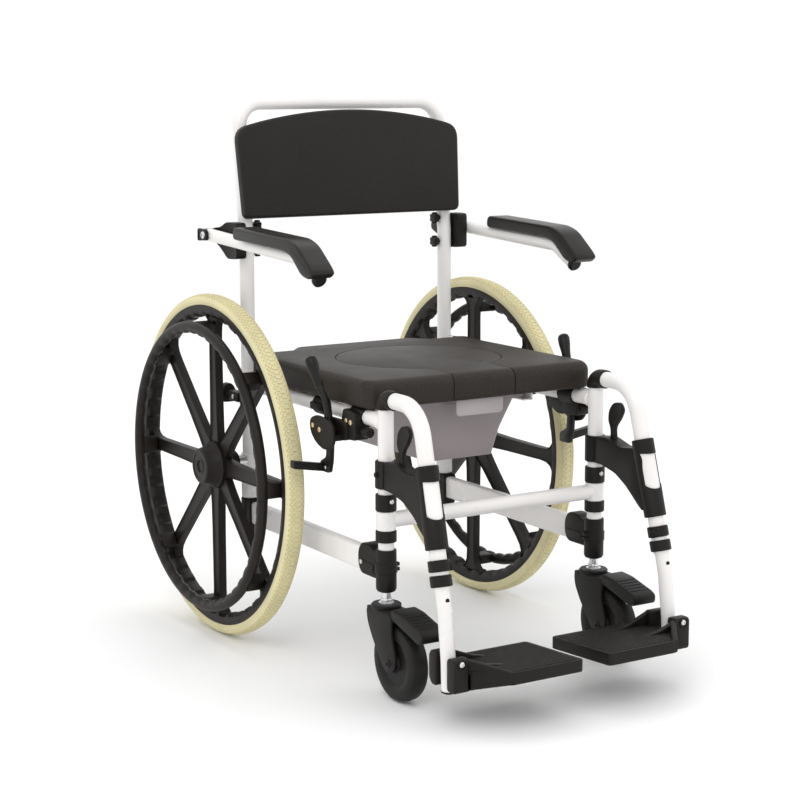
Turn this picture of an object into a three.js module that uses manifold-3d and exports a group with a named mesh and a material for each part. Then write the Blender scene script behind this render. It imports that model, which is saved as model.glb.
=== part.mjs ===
// Self-propelled commode chair, millimetres, +Z up, chair facing -Y, floor at Z = 0.
// Built around the rear wheel axis (Y = 0) and moved at the end so the box is centred in Y.
import * as THREE from 'three';
import { mergeVertices } from 'three/addons/utils/BufferGeometryUtils.js';
import Module from 'manifold-3d';

const wasm = await Module();
wasm.setup();

// ---- driving dimensions -------------------------------------------------------------------
const GAP = 0.3;                 // clearance between neighbouring pieces
const SEG = 16;                  // sides of a round tube
const WHEEL_SEG = 36;            // sides of the wheel rings
const TUBE_R = 12.7;             // 25.4 mm frame tube
const BORE_R = TUBE_R + 0.45;    // bore that slides over a frame tube
const SLEEVE_R = 15.6;           // larger sleeves over the legs
const HALF_TRACK = 205;          // side frame centre to the chair centre
const LEG_Y = -462;              // front leg
const POST_Y = 4;                // rear post
const LEG_TOP = 458;
const RAIL_Z = 438;              // seat rail height
const BAR_Z = 281.5;             // front crossbar height

const WHEEL_R = 300;             // 24 inch rear wheel
const WHEEL_X = 272.5;
const RIM_R = 281;
const HANDRIM_R = 245;
const HANDRIM_X = 310;
const SPOKES = 8;

const CASTOR_R = 62.5;           // 5 inch castor
const CASTOR_TRAIL = 43;
const CASTOR_W = 32;

const HANGER_R = 13;             // footrest hanger tube
const HANGER_TOP_Z = 474.5;
const FOOT_R = 11.5;             // telescopic footrest tube
const LEAN_Y = (z) => -582 - 0.2757 * (396 - z);   // hanger axis below the bend
const LEAN_X = 0.0226;           // the hangers also splay outwards a little
const FOOT_X = 212;
const FLIP_Z = 108;              // footplate hinge height
const PIVOT_R = 4.2;             // small pivot pins and their bores
const PIVOT_BORE = 4.4;

const BACK_LEAN = THREE.MathUtils.degToRad(6);
const BACK_BEND_Z = 690;
const BACK_TOP_Z = 926.5;

const ARM_X = 251;
const ARM_R = 11;
const ARM_PIVOT = [45, 699];     // y, z of the armrest pivot

const SEAT_TOP = 498;
const SEAT_BOTTOM = 453.2;
const SEAT_HALF = 222;

const BRAKE_PIVOT = [-345, 425];
const SHOE_PIVOT = [-350, 404];

// ---- materials ----------------------------------------------------------------------------
const surface = (color, roughness, metalness) =>
  new THREE.MeshStandardMaterial({ color, roughness, metalness });
const WHITE = surface(0xf2efec, 0.35, 0.1);
const BLACK = surface(0x262322, 0.5, 0);
const CUSHION = surface(0x3c3733, 0.75, 0);
const TYRE = surface(0xd9d09a, 0.7, 0);
const PAN = surface(0x8f8788, 0.5, 0);

// ---- solids -------------------------------------------------------------------------------
function toManifold(geometry) {
  const g = geometry.clone();
  g.deleteAttribute('normal');
  g.deleteAttribute('uv');
  const m = mergeVertices(g, 1e-4);
  const triVerts = new Uint32Array(m.index.array);
  const body = new wasm.Manifold(new wasm.Mesh({
    numProp: 3, vertProperties: new Float32Array(m.attributes.position.array), triVerts,
  }));
  if (body.volume() >= 0) return body;
  for (let i = 0; i < triVerts.length; i += 3) {
    [triVerts[i], triVerts[i + 1]] = [triVerts[i + 1], triVerts[i]];
  }
  return new wasm.Manifold(new wasm.Mesh({
    numProp: 3, vertProperties: new Float32Array(m.attributes.position.array), triVerts,
  }));
}
const asManifold = (part) => (part.isBufferGeometry ? toManifold(part) : part);
const union = (...parts) => parts.map(asManifold).reduce((a, b) => a.add(b));
const cut = (body, ...tools) =>
  tools.map(asManifold).reduce((a, b) => a.subtract(b), asManifold(body));

function toGeometry(body) {
  const mesh = body.getMesh();
  const geometry = new THREE.BufferGeometry();
  const positions = new Float32Array(mesh.numVert * 3);
  for (let i = 0; i < mesh.numVert; i += 1) {
    for (let k = 0; k < 3; k += 1) positions[3 * i + k] = mesh.vertProperties[i * mesh.numProp + k];
  }
  geometry.setAttribute('position', new THREE.BufferAttribute(positions, 3));
  geometry.setIndex(new THREE.BufferAttribute(new Uint32Array(mesh.triVerts), 1));
  geometry.computeVertexNormals();
  return geometry;
}

const box = (x0, x1, y0, y1, z0, z1) =>
  new THREE.BoxGeometry(x1 - x0, y1 - y0, z1 - z0)
    .translate((x0 + x1) / 2, (y0 + y1) / 2, (z0 + z1) / 2);
function rodX(r, x0, x1, y, z, seg = SEG) {
  return new THREE.CylinderGeometry(r, r, x1 - x0, seg).rotateZ(Math.PI / 2)
    .translate((x0 + x1) / 2, y, z);
}
function rodY(r, y0, y1, x, z, seg = SEG) {
  return new THREE.CylinderGeometry(r, r, y1 - y0, seg).translate(x, (y0 + y1) / 2, z);
}
function rodZ(r, z0, z1, x, y, seg = SEG) {
  return new THREE.CylinderGeometry(r, r, z1 - z0, seg).rotateX(Math.PI / 2)
    .translate(x, y, (z0 + z1) / 2);
}
// ring turned about X from a profile of [x, radius] pairs
function turnX(profile, x, y, z, seg) {
  const points = profile.map(([px, r]) => new THREE.Vector2(r, px));
  points.push(points[0].clone());
  return new THREE.LatheGeometry(points, seg).rotateZ(-Math.PI / 2).translate(x, y, z);
}
const shapeOf = (points) => new THREE.Shape(points.map(([a, b]) => new THREE.Vector2(a, b)));
// outline in Y-Z pushed along X
function slabX(points, x0, x1) {
  const g = new THREE.ExtrudeGeometry(shapeOf(points), { depth: x1 - x0, bevelEnabled: false });
  g.applyMatrix4(new THREE.Matrix4().set(0, 0, 1, x0, 1, 0, 0, 0, 0, 1, 0, 0, 0, 0, 0, 1));
  return g;
}
// outline in X-Y pushed along Z
const slabZ = (points, z0, z1) => {
  const g = new THREE.ExtrudeGeometry(shapeOf(points), { depth: z1 - z0, bevelEnabled: false });
  return g.translate(0, 0, z0);
};

// polygon with every corner rounded by `radius`
function rounded(points, radius, steps = 3) {
  const out = [];
  points.forEach((p, i) => {
    const prev = points[(i + points.length - 1) % points.length];
    const next = points[(i + 1) % points.length];
    const cornerR = p[2] ?? radius;
    const toPrev = new THREE.Vector2(prev[0] - p[0], prev[1] - p[1]);
    const toNext = new THREE.Vector2(next[0] - p[0], next[1] - p[1]);
    const reach = Math.min(cornerR, toPrev.length() * 0.45, toNext.length() * 0.45);
    const a = toPrev.setLength(reach);
    const b = toNext.setLength(reach);
    for (let s = 0; s <= steps; s += 1) {
      const t = s / steps;
      out.push([
        p[0] + a.x * (1 - t) ** 2 + b.x * t ** 2,
        p[1] + a.y * (1 - t) ** 2 + b.y * t ** 2,
      ]);
    }
  });
  return out;
}

// curve through exact points, used for bent tubes
class PointPath extends THREE.Curve {
  constructor(points) {
    super();
    this.points = points;
  }
  getPoint(t) {
    return this.points[Math.round(t * (this.points.length - 1))].clone();
  }
  getPointAt(u) {
    return this.getPoint(u);
  }
  getTangent(t) {
    const i = Math.round(t * (this.points.length - 1));
    const a = this.points[Math.max(i - 1, 0)];
    const b = this.points[Math.min(i + 1, this.points.length - 1)];
    return b.clone().sub(a).normalize();
  }
  getTangentAt(u) {
    return this.getTangent(u);
  }
}
// corner list -> points with the corners bent to a radius
function bentPoints(corners, radius, steps = 6) {
  const out = [corners[0]];
  for (let i = 1; i < corners.length - 1; i += 1) {
    const into = corners[i].clone().sub(corners[i - 1]).normalize();
    const away = corners[i + 1].clone().sub(corners[i]).normalize();
    const turn = into.angleTo(away);
    const reach = radius * Math.tan(turn / 2);
    const start = corners[i].clone().addScaledVector(into, -reach);
    const side = away.clone().addScaledVector(into, -away.dot(into)).normalize();
    const centre = start.clone().addScaledVector(side, radius);
    for (let s = 0; s <= steps; s += 1) {
      const angle = (turn * s) / steps;
      out.push(centre.clone()
        .addScaledVector(side, -radius * Math.cos(angle))
        .addScaledVector(into, radius * Math.sin(angle)));
    }
  }
  out.push(corners[corners.length - 1]);
  return out;
}
function bentTube(corners, radius, bend, seg = 20, steps = 6) {
  const points = bentPoints(corners.map((c) => new THREE.Vector3(...c)), bend, steps);
  const ring = [];
  for (let i = 0; i < seg; i += 1) {
    const a = (2 * Math.PI * i) / seg;
    ring.push([radius * Math.cos(a), radius * Math.sin(a)]);
  }
  return new THREE.ExtrudeGeometry(shapeOf(ring), {
    extrudePath: new PointPath(points), steps: points.length - 1, curveSegments: 1,
  });
}
const rodBetween = (a, b, r, seg = 14) => bentTube([a, b], r, 1, seg);

// point on the leaning hanger axis at a height
const lean = (z) => [HALF_TRACK + (HANGER_TOP_Z - z) * LEAN_X, LEAN_Y(z), z];
// skin through level closed rings that all have the same number of points
function loft(rings) {
  const n = rings[0].length;
  const positions = rings.flat(2);
  const index = [];
  for (let k = 0; k < rings.length - 1; k += 1) {
    for (let i = 0; i < n; i += 1) {
      const j = (i + 1) % n;
      const a = k * n + i;
      const b = k * n + j;
      index.push(a, b, b + n, a, b + n, a + n);
    }
  }
  const last = (rings.length - 1) * n;
  const contour = rings[0].map(([x, y]) => new THREE.Vector2(x, y));
  THREE.ShapeUtils.triangulateShape(contour, []).forEach(([a, b, c]) => {
    index.push(a, c, b);
    index.push(last + a, last + b, last + c);
  });
  const g = new THREE.BufferGeometry();
  g.setAttribute('position', new THREE.BufferAttribute(new Float32Array(positions), 3));
  g.setIndex(index);
  return g;
}
// rounded rectangle ring at height z
const panRing = (halfX, y0, y1, z) =>
  rounded([[-halfX, y0], [halfX, y0], [halfX, y1], [-halfX, y1]], 28, 3).map(([x, y]) => [x, y, z]);

// ---- assembly -----------------------------------------------------------------------------
const group = new THREE.Group();
group.name = 'commode_chair';
function add(name, body, material) {
  const mesh = new THREE.Mesh(toGeometry(asManifold(body)), material);
  mesh.name = name;
  group.add(mesh);
}
// built for the sitter's left (+X) and mirrored for the right
function addPair(name, body, material) {
  const left = asManifold(body);
  add(`${name}_left`, left, material);
  add(`${name}_right`, left.mirror([1, 0, 0]), material);
}

// side frame: front leg, seat rail, rear socket tube, axle sleeve and spindle
addPair('side_frame', cut(
  union(
    rodZ(TUBE_R, 192, LEG_TOP, HALF_TRACK, LEG_Y),
    rodY(TUBE_R, LEG_Y, POST_Y, HALF_TRACK, RAIL_Z),
    rodZ(TUBE_R, 152, 452, HALF_TRACK, POST_Y),
    rodZ(SLEEVE_R, 233.6, 314, HALF_TRACK, POST_Y),
    rodX(8, HALF_TRACK, 299, 0, WHEEL_R, 16),
  ),
  rodZ(10.4, 402, 460, HALF_TRACK, POST_Y, 16),
  rodZ(10.8, 450, 460, HALF_TRACK, LEG_Y, 16),
), WHITE);

// flat lower rail, square-cut against the leg bracket and the post bracket
const railEnds = [-397.4, -16.5];
addPair('lower_rail', new THREE.ExtrudeGeometry(
  shapeOf(rounded([[-9, -20], [9, -20], [9, 20], [-9, 20]], 5, 2)),
  { depth: railEnds[1] - railEnds[0], bevelEnabled: false },
).rotateX(Math.PI / 2).translate(HALF_TRACK, railEnds[1], 208), WHITE);

// plastic bracket on the foot of the front leg: socket, band, rail lobe and castor bush
addPair('leg_bracket', cut(
  union(
    rodZ(16.5, 166, 235, HALF_TRACK, LEG_Y),
    rodZ(17.6, 198, 213, HALF_TRACK, LEG_Y),
    slabX(rounded([[LEG_Y, 186], [-405, 186], [-397.7, 200], [-397.7, 224], [-408, 237],
      [-432, 237], [-440, 232], [LEG_Y, 232]], 6, 2), HALF_TRACK - 13, HALF_TRACK + 13),
  ),
  rodZ(BORE_R, 191.7, 240, HALF_TRACK, LEG_Y),
  rodZ(6.4, 160, 195, HALF_TRACK, LEG_Y, 16),
), BLACK);
addPair('post_bracket', cut(
  union(
    rodZ(16.5, 148, 233.2, HALF_TRACK, POST_Y),
    slabX(rounded([[POST_Y, 170], [-16.2, 178], [-16.2, 230], [POST_Y, 233]], 3, 1),
      HALF_TRACK - 12, HALF_TRACK + 12),
  ),
  rodZ(BORE_R, 151.7, 240, HALF_TRACK, POST_Y),
), BLACK);

// clamp collars above and below the crossbar sleeve
const collar = (z0, z1) =>
  cut(rodZ(16.7, z0, z1, HALF_TRACK, LEG_Y), rodZ(BORE_R, z0 - 5, z1 + 5, HALF_TRACK, LEG_Y));
addPair('collar_upper', collar(297.3, 324), BLACK);
addPair('collar_lower', collar(247.5, 265.7), BLACK);
add('front_crossbar', cut(
  union(
    rodX(TUBE_R, -HALF_TRACK, HALF_TRACK, LEG_Y, BAR_Z),
    rodZ(SLEEVE_R, 266, 297, HALF_TRACK, LEG_Y),
    rodZ(SLEEVE_R, 266, 297, -HALF_TRACK, LEG_Y),
  ),
  rodZ(BORE_R, 260, 300, HALF_TRACK, LEG_Y),
  rodZ(BORE_R, 260, 300, -HALF_TRACK, LEG_Y),
), WHITE);

// back: one bent tube plugged into both rear sockets
const backTopY = POST_Y + (BACK_TOP_Z - BACK_BEND_Z) * Math.tan(BACK_LEAN);
const backCorners = [
  [-HALF_TRACK, POST_Y, 452.4], [-HALF_TRACK, POST_Y, BACK_BEND_Z],
  [-HALF_TRACK, backTopY, BACK_TOP_Z], [HALF_TRACK, backTopY, BACK_TOP_Z],
  [HALF_TRACK, POST_Y, BACK_BEND_Z], [HALF_TRACK, POST_Y, 452.4],
];
add('back_tube', union(
  bentTube(backCorners, TUBE_R, 42, 16, 4),
  rodZ(10, 404, 456, HALF_TRACK, POST_Y, 16),
  rodZ(10, 404, 456, -HALF_TRACK, POST_Y, 16),
), WHITE);

// arched back panel lying on the front of the leaning tube
const backOutline = [[-219, 0, 10], [219, 0, 10], [225, 140, 24], [205, 160, 24]];
for (let x = 150; x >= -150; x -= 50) backOutline.push([x, 187 - 0.00062 * x * x, 20]);
backOutline.push([-205, 160, 24], [-225, 140, 24]);
add('backrest', new THREE.ExtrudeGeometry(shapeOf(rounded(backOutline, 20, 2)), {
  depth: 16, bevelEnabled: true, bevelThickness: 3, bevelSize: 3, bevelOffset: -3, bevelSegments: 1,
}).rotateX(Math.PI / 2 - BACK_LEAN).translate(
  0,
  POST_Y + (727 - BACK_BEND_Z) * Math.tan(BACK_LEAN) - (TUBE_R + 3.4) / Math.cos(BACK_LEAN),
  727,
), CUSHION);

// seat: horseshoe cushion with a keyhole opening, and the lift-out insert that fills it
const seatOutline = rounded([
  [-210, -435, 26], [210, -435, 26], [SEAT_HALF, -415, 20], [SEAT_HALF, -40, 10],
  [150, -40, 6], [118, -2, 8], [-118, -2, 8], [-150, -40, 6], [-SEAT_HALF, -40, 10],
  [-SEAT_HALF, -415, 20],
], 12, 2);
function keyhole(grow) {
  const out = [];
  for (let i = 0; i <= 20; i += 1) {
    const a = THREE.MathUtils.degToRad(-65 + (310 * i) / 20);
    out.push([(142 + grow) * Math.cos(a), -232 + (140 + grow) * Math.sin(a)]);
  }
  out.push([-(55 + grow), -390], [-(61 + grow), -450], [61 + grow, -450], [55 + grow, -390]);
  return out;
}
// cushion block: [height, inset] steps give the rounded lower and upper edges
const cushionSteps = [[SEAT_BOTTOM, 4], [SEAT_BOTTOM + 6, 0], [SEAT_TOP - 16, 1],
  [SEAT_TOP - 5, 7], [SEAT_TOP, 15]];
const cushion = toManifold(loft(cushionSteps.map(([z, inset]) => seatOutline.map(([x, y]) =>
  [x * (1 - inset / SEAT_HALF), -218 + (y + 218) * (1 - inset / 217), z]))));
const keyholeSlab = (grow) => slabZ(keyhole(grow), SEAT_BOTTOM - 5, SEAT_TOP + 5);
add('seat', cut(cushion, keyholeSlab(0.4)), CUSHION);
add('seat_lid', cushion.intersect(toManifold(keyholeSlab(0))), CUSHION);

// cradle between the seat rails that carries the pan
const cradleParts = [];
for (const y of [-345, -60]) {
  cradleParts.push(box(-191.8, 191.8, y - 14, y + 14, 447.9, 452.9));
  cradleParts.push(box(-214, 214, y - 14, y + 14, 451.1, 452.9));
}
for (const s of [-1, 1]) {
  cradleParts.push(box(119.25 * s - 1.75, 119.25 * s + 1.75, -399, -46, 436, 450));
  cradleParts.push(box(111.5 * s - 9.5, 111.5 * s + 9.5, -399, -46, 435.5, 438.5));
}
add('pan_cradle', union(...cradleParts), WHITE);

// removable pan with a flange, tapered wall and front grip
const PAN_Y0 = -388;
const PAN_Y1 = -70;
const PAN_WALL = [[62, 343], [74, 388], [86, 414], [99, 434], [99, 444.8]];   // half width, height
const wallRings = (inset) => PAN_WALL.map(([half, z], k) => {
  const end = 8 + (99 - half) * 0.5 + inset;
  const rise = (k === 0 ? inset : 0) + (k === 4 && inset ? 5 : 0);
  return panRing(half - inset, PAN_Y0 + end, PAN_Y1 - end, z + rise);
});
add('pan', cut(
  union(
    loft(wallRings(0)),
    loft([panRing(115, PAN_Y0, PAN_Y1, 440), panRing(115, PAN_Y0, PAN_Y1, 444.8)]),
    box(-46, 46, -420, PAN_Y0 + 4, 440.5, 444.8),
    box(-46, 46, -420, -416.5, 424, 444.8),
  ),
  loft(wallRings(3)),
), PAN);

// rear wheel: tyre, spoked rim with hub, hand rim with lugs
addPair('wheel_tyre', turnX([[-15.5, RIM_R + GAP], [-16.5, 289], [-11, 297], [-3, WHEEL_R],
  [3, WHEEL_R], [11, 297], [16.5, 289], [15.5, RIM_R + GAP]], WHEEL_X, 0, WHEEL_R, WHEEL_SEG), TYRE);
const round = [...Array(SPOKES).keys()].map((i) => (2 * Math.PI * i) / SPOKES);
const spokeSet = round.map((angle) => slabX([[-17, 30], [17, 30], [12, 110], [11, 268], [-11, 268],
  [-12, 110]], 262, 278).rotateX(angle).translate(0, 0, WHEEL_R));
addPair('wheel_rim', cut(
  union(
    turnX([[-14.5, 264], [-14.5, RIM_R], [14.5, RIM_R], [14.5, 264]], WHEEL_X, 0, WHEEL_R, WHEEL_SEG),
    ...spokeSet,
    rodX(40, 258, 284, 0, WHEEL_R),
    rodX(33, 284, 306, 0, WHEEL_R),
    rodX(22, 236, 258, 0, WHEEL_R),
  ),
  rodX(8.4, 230, 300, 0, WHEEL_R, 16),
), BLACK);
const lugs = round.map((angle) =>
  box(278.3, 304, -11, 11, 238, 252).rotateX(angle).translate(0, 0, WHEEL_R));
addPair('hand_rim', union(
  turnX([[-5, HANDRIM_R - 9], [-9.5, HANDRIM_R], [-5, HANDRIM_R + 9],
    [5, HANDRIM_R + 9], [9.5, HANDRIM_R], [5, HANDRIM_R - 9]], HANDRIM_X, 0, WHEEL_R, WHEEL_SEG),
  ...lugs,
), BLACK);

// castor: swivel fork with stem, wheel and brake pedal
const AXLE = [LEG_Y - CASTOR_TRAIL, CASTOR_R];
const forkArm = rounded([[-437, 138], [-440, 118], [-456, 92], [-490, 50], [-505, 46], [-521, 54],
  [-524, 74], [-512, 108], [-512, 138]], 6, 2);
addPair('castor_fork', cut(
  union(
    slabX(forkArm, HALF_TRACK - 23, HALF_TRACK + 23),
    rodZ(24, 134, 148, HALF_TRACK, LEG_Y),
    rodZ(6, 140, 189, HALF_TRACK, LEG_Y, 16),
    rodZ(11, 146, 153, HALF_TRACK, LEG_Y, 16),
  ),
  rodX(CASTOR_R + 3, HALF_TRACK - 18, HALF_TRACK + 18, ...AXLE, 24),
).add(asManifold(rodX(5, HALF_TRACK - 20, HALF_TRACK + 20, ...AXLE, 12))), BLACK);
addPair('castor_wheel', turnX([[-16, 5.6], [-16, 54], [-12, 60], [-5, CASTOR_R], [5, CASTOR_R],
  [12, 60], [16, 54], [16, 5.6]], HALF_TRACK, ...AXLE, 24), BLACK);
addPair('castor_pedal', slabX(rounded([[-514, 139], [-514, 151], [-540, 152], [-592, 135],
  [-601, 127], [-599, 118], [-584, 112], [-560, 118], [-534, 128]], 4, 2),
HALF_TRACK - 22, HALF_TRACK + 22), BLACK);

// footrest hanger: bent tube, black bracket that swings round the leg, leg cap, rings
const hangerCorner = LEAN_Y(HANGER_TOP_Z);
addPair('hanger_tube', cut(
  bentTube([[HALF_TRACK, -478, HANGER_TOP_Z], [HALF_TRACK, hangerCorner, HANGER_TOP_Z], lean(209)],
    HANGER_R, 60, 16, 6),
  rodBetween(lean(200), lean(345), 12.1, 16),
), WHITE);
addPair('leg_cap', cut(
  union(
    rodY(15.6, -489, -461, HALF_TRACK, HANGER_TOP_Z),
    rodZ(12.8, 458.4, 470, HALF_TRACK, LEG_Y),
  ),
  rodY(HANGER_R + 0.35, -495, -477.6, HALF_TRACK, HANGER_TOP_Z),
), BLACK);
const web = rounded([[-462, 376], [-505, 381], [-560, 374], [-566, 384], [-590, 384], [-600, 362],
  [-586, 352], [-588, 330], [-600, 312], [-610, 290], [-592, 268], [-580, 288], [-560, 308],
  [-530, 326], [-496, 334], [-462, 334]], 5, 2);
addPair('hanger_bracket', cut(
  union(
    slabX(web, HALF_TRACK - 13, HALF_TRACK + 13),
    rodZ(17.2, 333, 377, HALF_TRACK, LEG_Y),
    rodBetween(lean(267), lean(389), 18, 18),
  ),
  rodZ(BORE_R, 320, 390, HALF_TRACK, LEG_Y),
  rodBetween(lean(250), lean(410), HANGER_R + 0.35),
  slabX([[-498, 370], [-530, 370], [-530, 390], [-498, 390]], HALF_TRACK - 5, HALF_TRACK + 5),
  slabX([[LEAN_Y(314) - 6, 314], [LEAN_Y(369) - 6, 369], [-650, 369], [-650, 314]],
    HALF_TRACK - 30, HALF_TRACK + 30),
), BLACK);
const band = (z0, z1) => cut(
  rodBetween(lean(z0), lean(z1), 17),
  rodBetween(lean(z0 - 10), lean(z1 + 10), HANGER_R + 0.35),
);
addPair('ring_upper', band(235, 252), BLACK);
addPair('ring_lower', band(213, 230), BLACK);

// sprung release lever in the slot of the hanger bracket
addPair('release_lever', slabX(rounded([[-507, 371], [-519, 371], [-517, 398], [-529, 412],
  [-536, 430], [-528, 441], [-514, 439], [-503, 425], [-501, 408], [-507, 396]], 6, 2),
HALF_TRACK - 4, HALF_TRACK + 4), BLACK);

// telescopic footrest tube with the pin the footplate turns on
const footPath = [lean(302), lean(180), [FOOT_X, -652, 105], [FOOT_X, -654, 55]];
addPair('foot_tube', union(
  bentTube(footPath, FOOT_R, 110, 14, 3),
  rodY(PIVOT_R, -691, -617, FOOT_X, FLIP_Z, 12),
), WHITE);

// flip-up footplate with a fork round the tube
const plateTop = (y) => 89 - (y + 589) * 0.066;
const plateBody = slabX([[-589, 69], [-589, plateTop(-589)], [-741, plateTop(-741)], [-741, 79],
  [-700, 72]], 24, 199);
const plateOutline = rounded([[24, -589], [176, -589], [178, -616], [240, -616], [240, -690],
  [196, -690], [158, -741], [24, -741]], 6, 2);
addPair('footplate', cut(
  union(
    toManifold(plateBody).intersect(toManifold(slabZ(plateOutline, 40, 130))),
    slabX(rounded([[-667, 62], [-667, 109], [-672, 114], [-686, 114], [-690, 109], [-690, 62]],
      3, 1), 194, 225),
    box(176, 199, -690, -667, 64, 90),
    slabX(rounded([[-636, 62], [-624, 62], [-616, 72], [-616, 108], [-622, 116], [-636, 116]],
      3, 1), 190, 224),
    box(174, 195, -636, -616, 72, 88),
  ),
  rodY(PIVOT_BORE, -700, -590, FOOT_X, FLIP_Z, 12),
), BLACK);

// armrest: clamp bracket on the post, flip-up tube and pad
addPair('arm_bracket', union(
  slabX(rounded([[-22, 660], [-22, 722], [16, 722], [40, 712], [68, 709], [72, 690], [40, 676],
    [12, 658]], 5, 2), 218.2, 239),
  box(230, 268, 61, 70, 688, 708),
  slabX(rounded([[34, 690], [36, 708], [68, 710], [70, 688]], 5, 2), 262.8, 268),
  rodX(PIVOT_R, 230, 268, ...ARM_PIVOT, 12),
), BLACK);
const padSlope = [[-90, 699], [-262, 693], [-290, 686], [-326, 656], [-352, 652], [-362, 664],
  [-310, 707], [-285, 714], [-90, 721]];
addPair('arm_pad', slabX(rounded(padSlope, 7, 2), 236, 279), CUSHION);
const armPath = [[ARM_X, 54, 698], [ARM_X, -282, 681], [ARM_X, -338, 652]];
addPair('arm_tube', cut(
  bentTube(armPath, ARM_R, 40, 14, 3),
  rodX(PIVOT_BORE, 230, 270, ...ARM_PIVOT, 12),
  slabX([[-89, 698.6], [-262, 692.4], [-290, 684.8], [-326, 655.2], [-356, 651], [-356, 740],
    [-89, 740]], 229, 280),
), WHITE);

// parking brake: clamp on the seat rail, hand lever and shoe
addPair('brake_clamp', cut(
  union(
    rodY(16.6, -412, -372, HALF_TRACK, RAIL_Z),
    slabX(rounded([[-412, 402], [-412, 448], [-372, 452], [-366, 425], [-372, 400]], 5, 2),
      205, 232),
    slabX(rounded([[-380, 384], [-380, 432], [-330, 432], [-300, 424], [-302, 402], [-322, 386],
      [-345, 380]], 7, 2), 225, 236),
  ),
  rodY(BORE_R, -420, -360, HALF_TRACK, RAIL_Z),
  box(150, 260, -430, -350, 452.9, 480),
), BLACK);
addPair('brake_lever', union(
  slabX(rounded([[-352, 420], [-344, 416], [-336, 422], [-326, 466], [-332, 474], [-346, 462]],
    4, 2), 236.3, 244),
  rodBetween([240, -336, 462], [252, -306, 516], 6.5, 12),
  rodBetween([249, -316, 499], [254, -301, 536], 9, 12),
  rodX(7, 236.3, 244, ...BRAKE_PIVOT, 16),
), BLACK);
addPair('brake_shoe', union(
  slabX(rounded([[-358, 410], [-342, 410], [-338, 362], [-319, 357], [-319, 343], [-348, 343],
    [-354, 362]], 3, 1), 236.3, 244),
  new THREE.BoxGeometry(58, 14, 13).rotateY(-Math.atan(10 / 58)).translate(269, -326, 353),
), BLACK);

// ---- centre the whole chair over the origin in Y ------------------------------------------
group.updateMatrixWorld(true);
const bounds = new THREE.Box3().setFromObject(group);
const shiftY = -(bounds.min.y + bounds.max.y) / 2;
group.children.forEach((mesh) => mesh.geometry.translate(0, shiftY, 0));

export default group;
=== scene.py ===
"""Commode chair with self-propelling wheels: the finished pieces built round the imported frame."""

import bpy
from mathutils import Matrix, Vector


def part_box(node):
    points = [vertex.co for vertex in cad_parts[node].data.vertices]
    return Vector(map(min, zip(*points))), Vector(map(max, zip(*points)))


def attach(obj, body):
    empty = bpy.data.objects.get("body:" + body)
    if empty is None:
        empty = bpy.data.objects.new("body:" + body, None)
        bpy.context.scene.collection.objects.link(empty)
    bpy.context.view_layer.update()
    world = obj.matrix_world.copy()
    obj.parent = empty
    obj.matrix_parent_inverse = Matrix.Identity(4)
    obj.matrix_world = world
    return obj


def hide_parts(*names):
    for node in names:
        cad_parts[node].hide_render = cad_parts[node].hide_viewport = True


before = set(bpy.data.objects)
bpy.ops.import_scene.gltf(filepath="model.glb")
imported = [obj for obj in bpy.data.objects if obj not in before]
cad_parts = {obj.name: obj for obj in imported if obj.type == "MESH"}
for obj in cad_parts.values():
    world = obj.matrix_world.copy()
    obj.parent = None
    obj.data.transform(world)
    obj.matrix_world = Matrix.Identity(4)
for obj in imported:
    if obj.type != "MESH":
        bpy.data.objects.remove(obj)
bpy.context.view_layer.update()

import math

import bpy
from bpy.props import FloatProperty, FloatVectorProperty, IntProperty, PointerProperty
from mathutils import Matrix, Vector

bl_info = {
    "name": "Commode chair",
    "version": (1, 0, 0),
    "blender": (4, 5, 0),
    "location": "View3D > Sidebar > Commode chair",
    "description": "Builds the finished pieces of a commode chair round its packed frame",
    "category": "Object",
}

MM = 0.001
SIDES = ("left", "right")
TYRE_LOW, TYRE_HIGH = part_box("wheel_tyre_left")
AXLE = (TYRE_LOW + TYRE_HIGH) / 2
WHEEL_R = (TYRE_HIGH.z - TYRE_LOW.z) / 2 / MM
WHEEL_X = AXLE.x / MM

# Places in millimetres, measured from the floor under the rear axle; x is the sitter's left.
TRACK = 205
LEG_Y = -462
POST_Y = 4
RAIL_Z = 438
BAR_Z = 281.5
HANGER_Z = 474.5
HANGER_SPLAY = 0.0226
HANGER_SLOPE = 0.2757
FOOT_X = 212
FLIP_Z = 107
PLATE_SLOPE = 0.066
CASTOR = (TRACK, -505, 62.5)
HUB = (WHEEL_X, 0, WHEEL_R)
BACK_LEAN = math.radians(6)
BACK_BEND_Z = 690
SEAT_LOW, SEAT_TOP = 453.4, 498
ARM_X = 251
X, Y, Z = Vector((1, 0, 0)), Vector((0, 1, 0)), Vector((0, 0, 1))

# A direction runs along an axis when its part along that axis is over this.
ALONG = 0.9
# Edges sharper than this, in degrees, stay sharp in a shaded piece.
CREASE = 35


def at(x, y, z):
    """A place in millimetres as a frame point in metres."""
    return Vector((x * MM, AXLE.y + y * MM, z * MM))


def lean(z):
    """The place at height z on the sloping axis of the left hanger."""
    return (TRACK + (HANGER_Z - z) * HANGER_SPLAY, -582 - HANGER_SLOPE * (396 - z), z)


# ---- what the user may change ---------------------------------------------------------------


def length(name, description, default):
    """A length property, kept in metres and given here in millimetres."""
    return FloatProperty(name=name, description=description, default=default * MM, min=0,
                         unit="LENGTH")


def colour(name, description, *default):
    return FloatVectorProperty(name=name, description=description, default=default, size=3,
                               min=0, max=1, subtype="COLOR")


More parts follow.
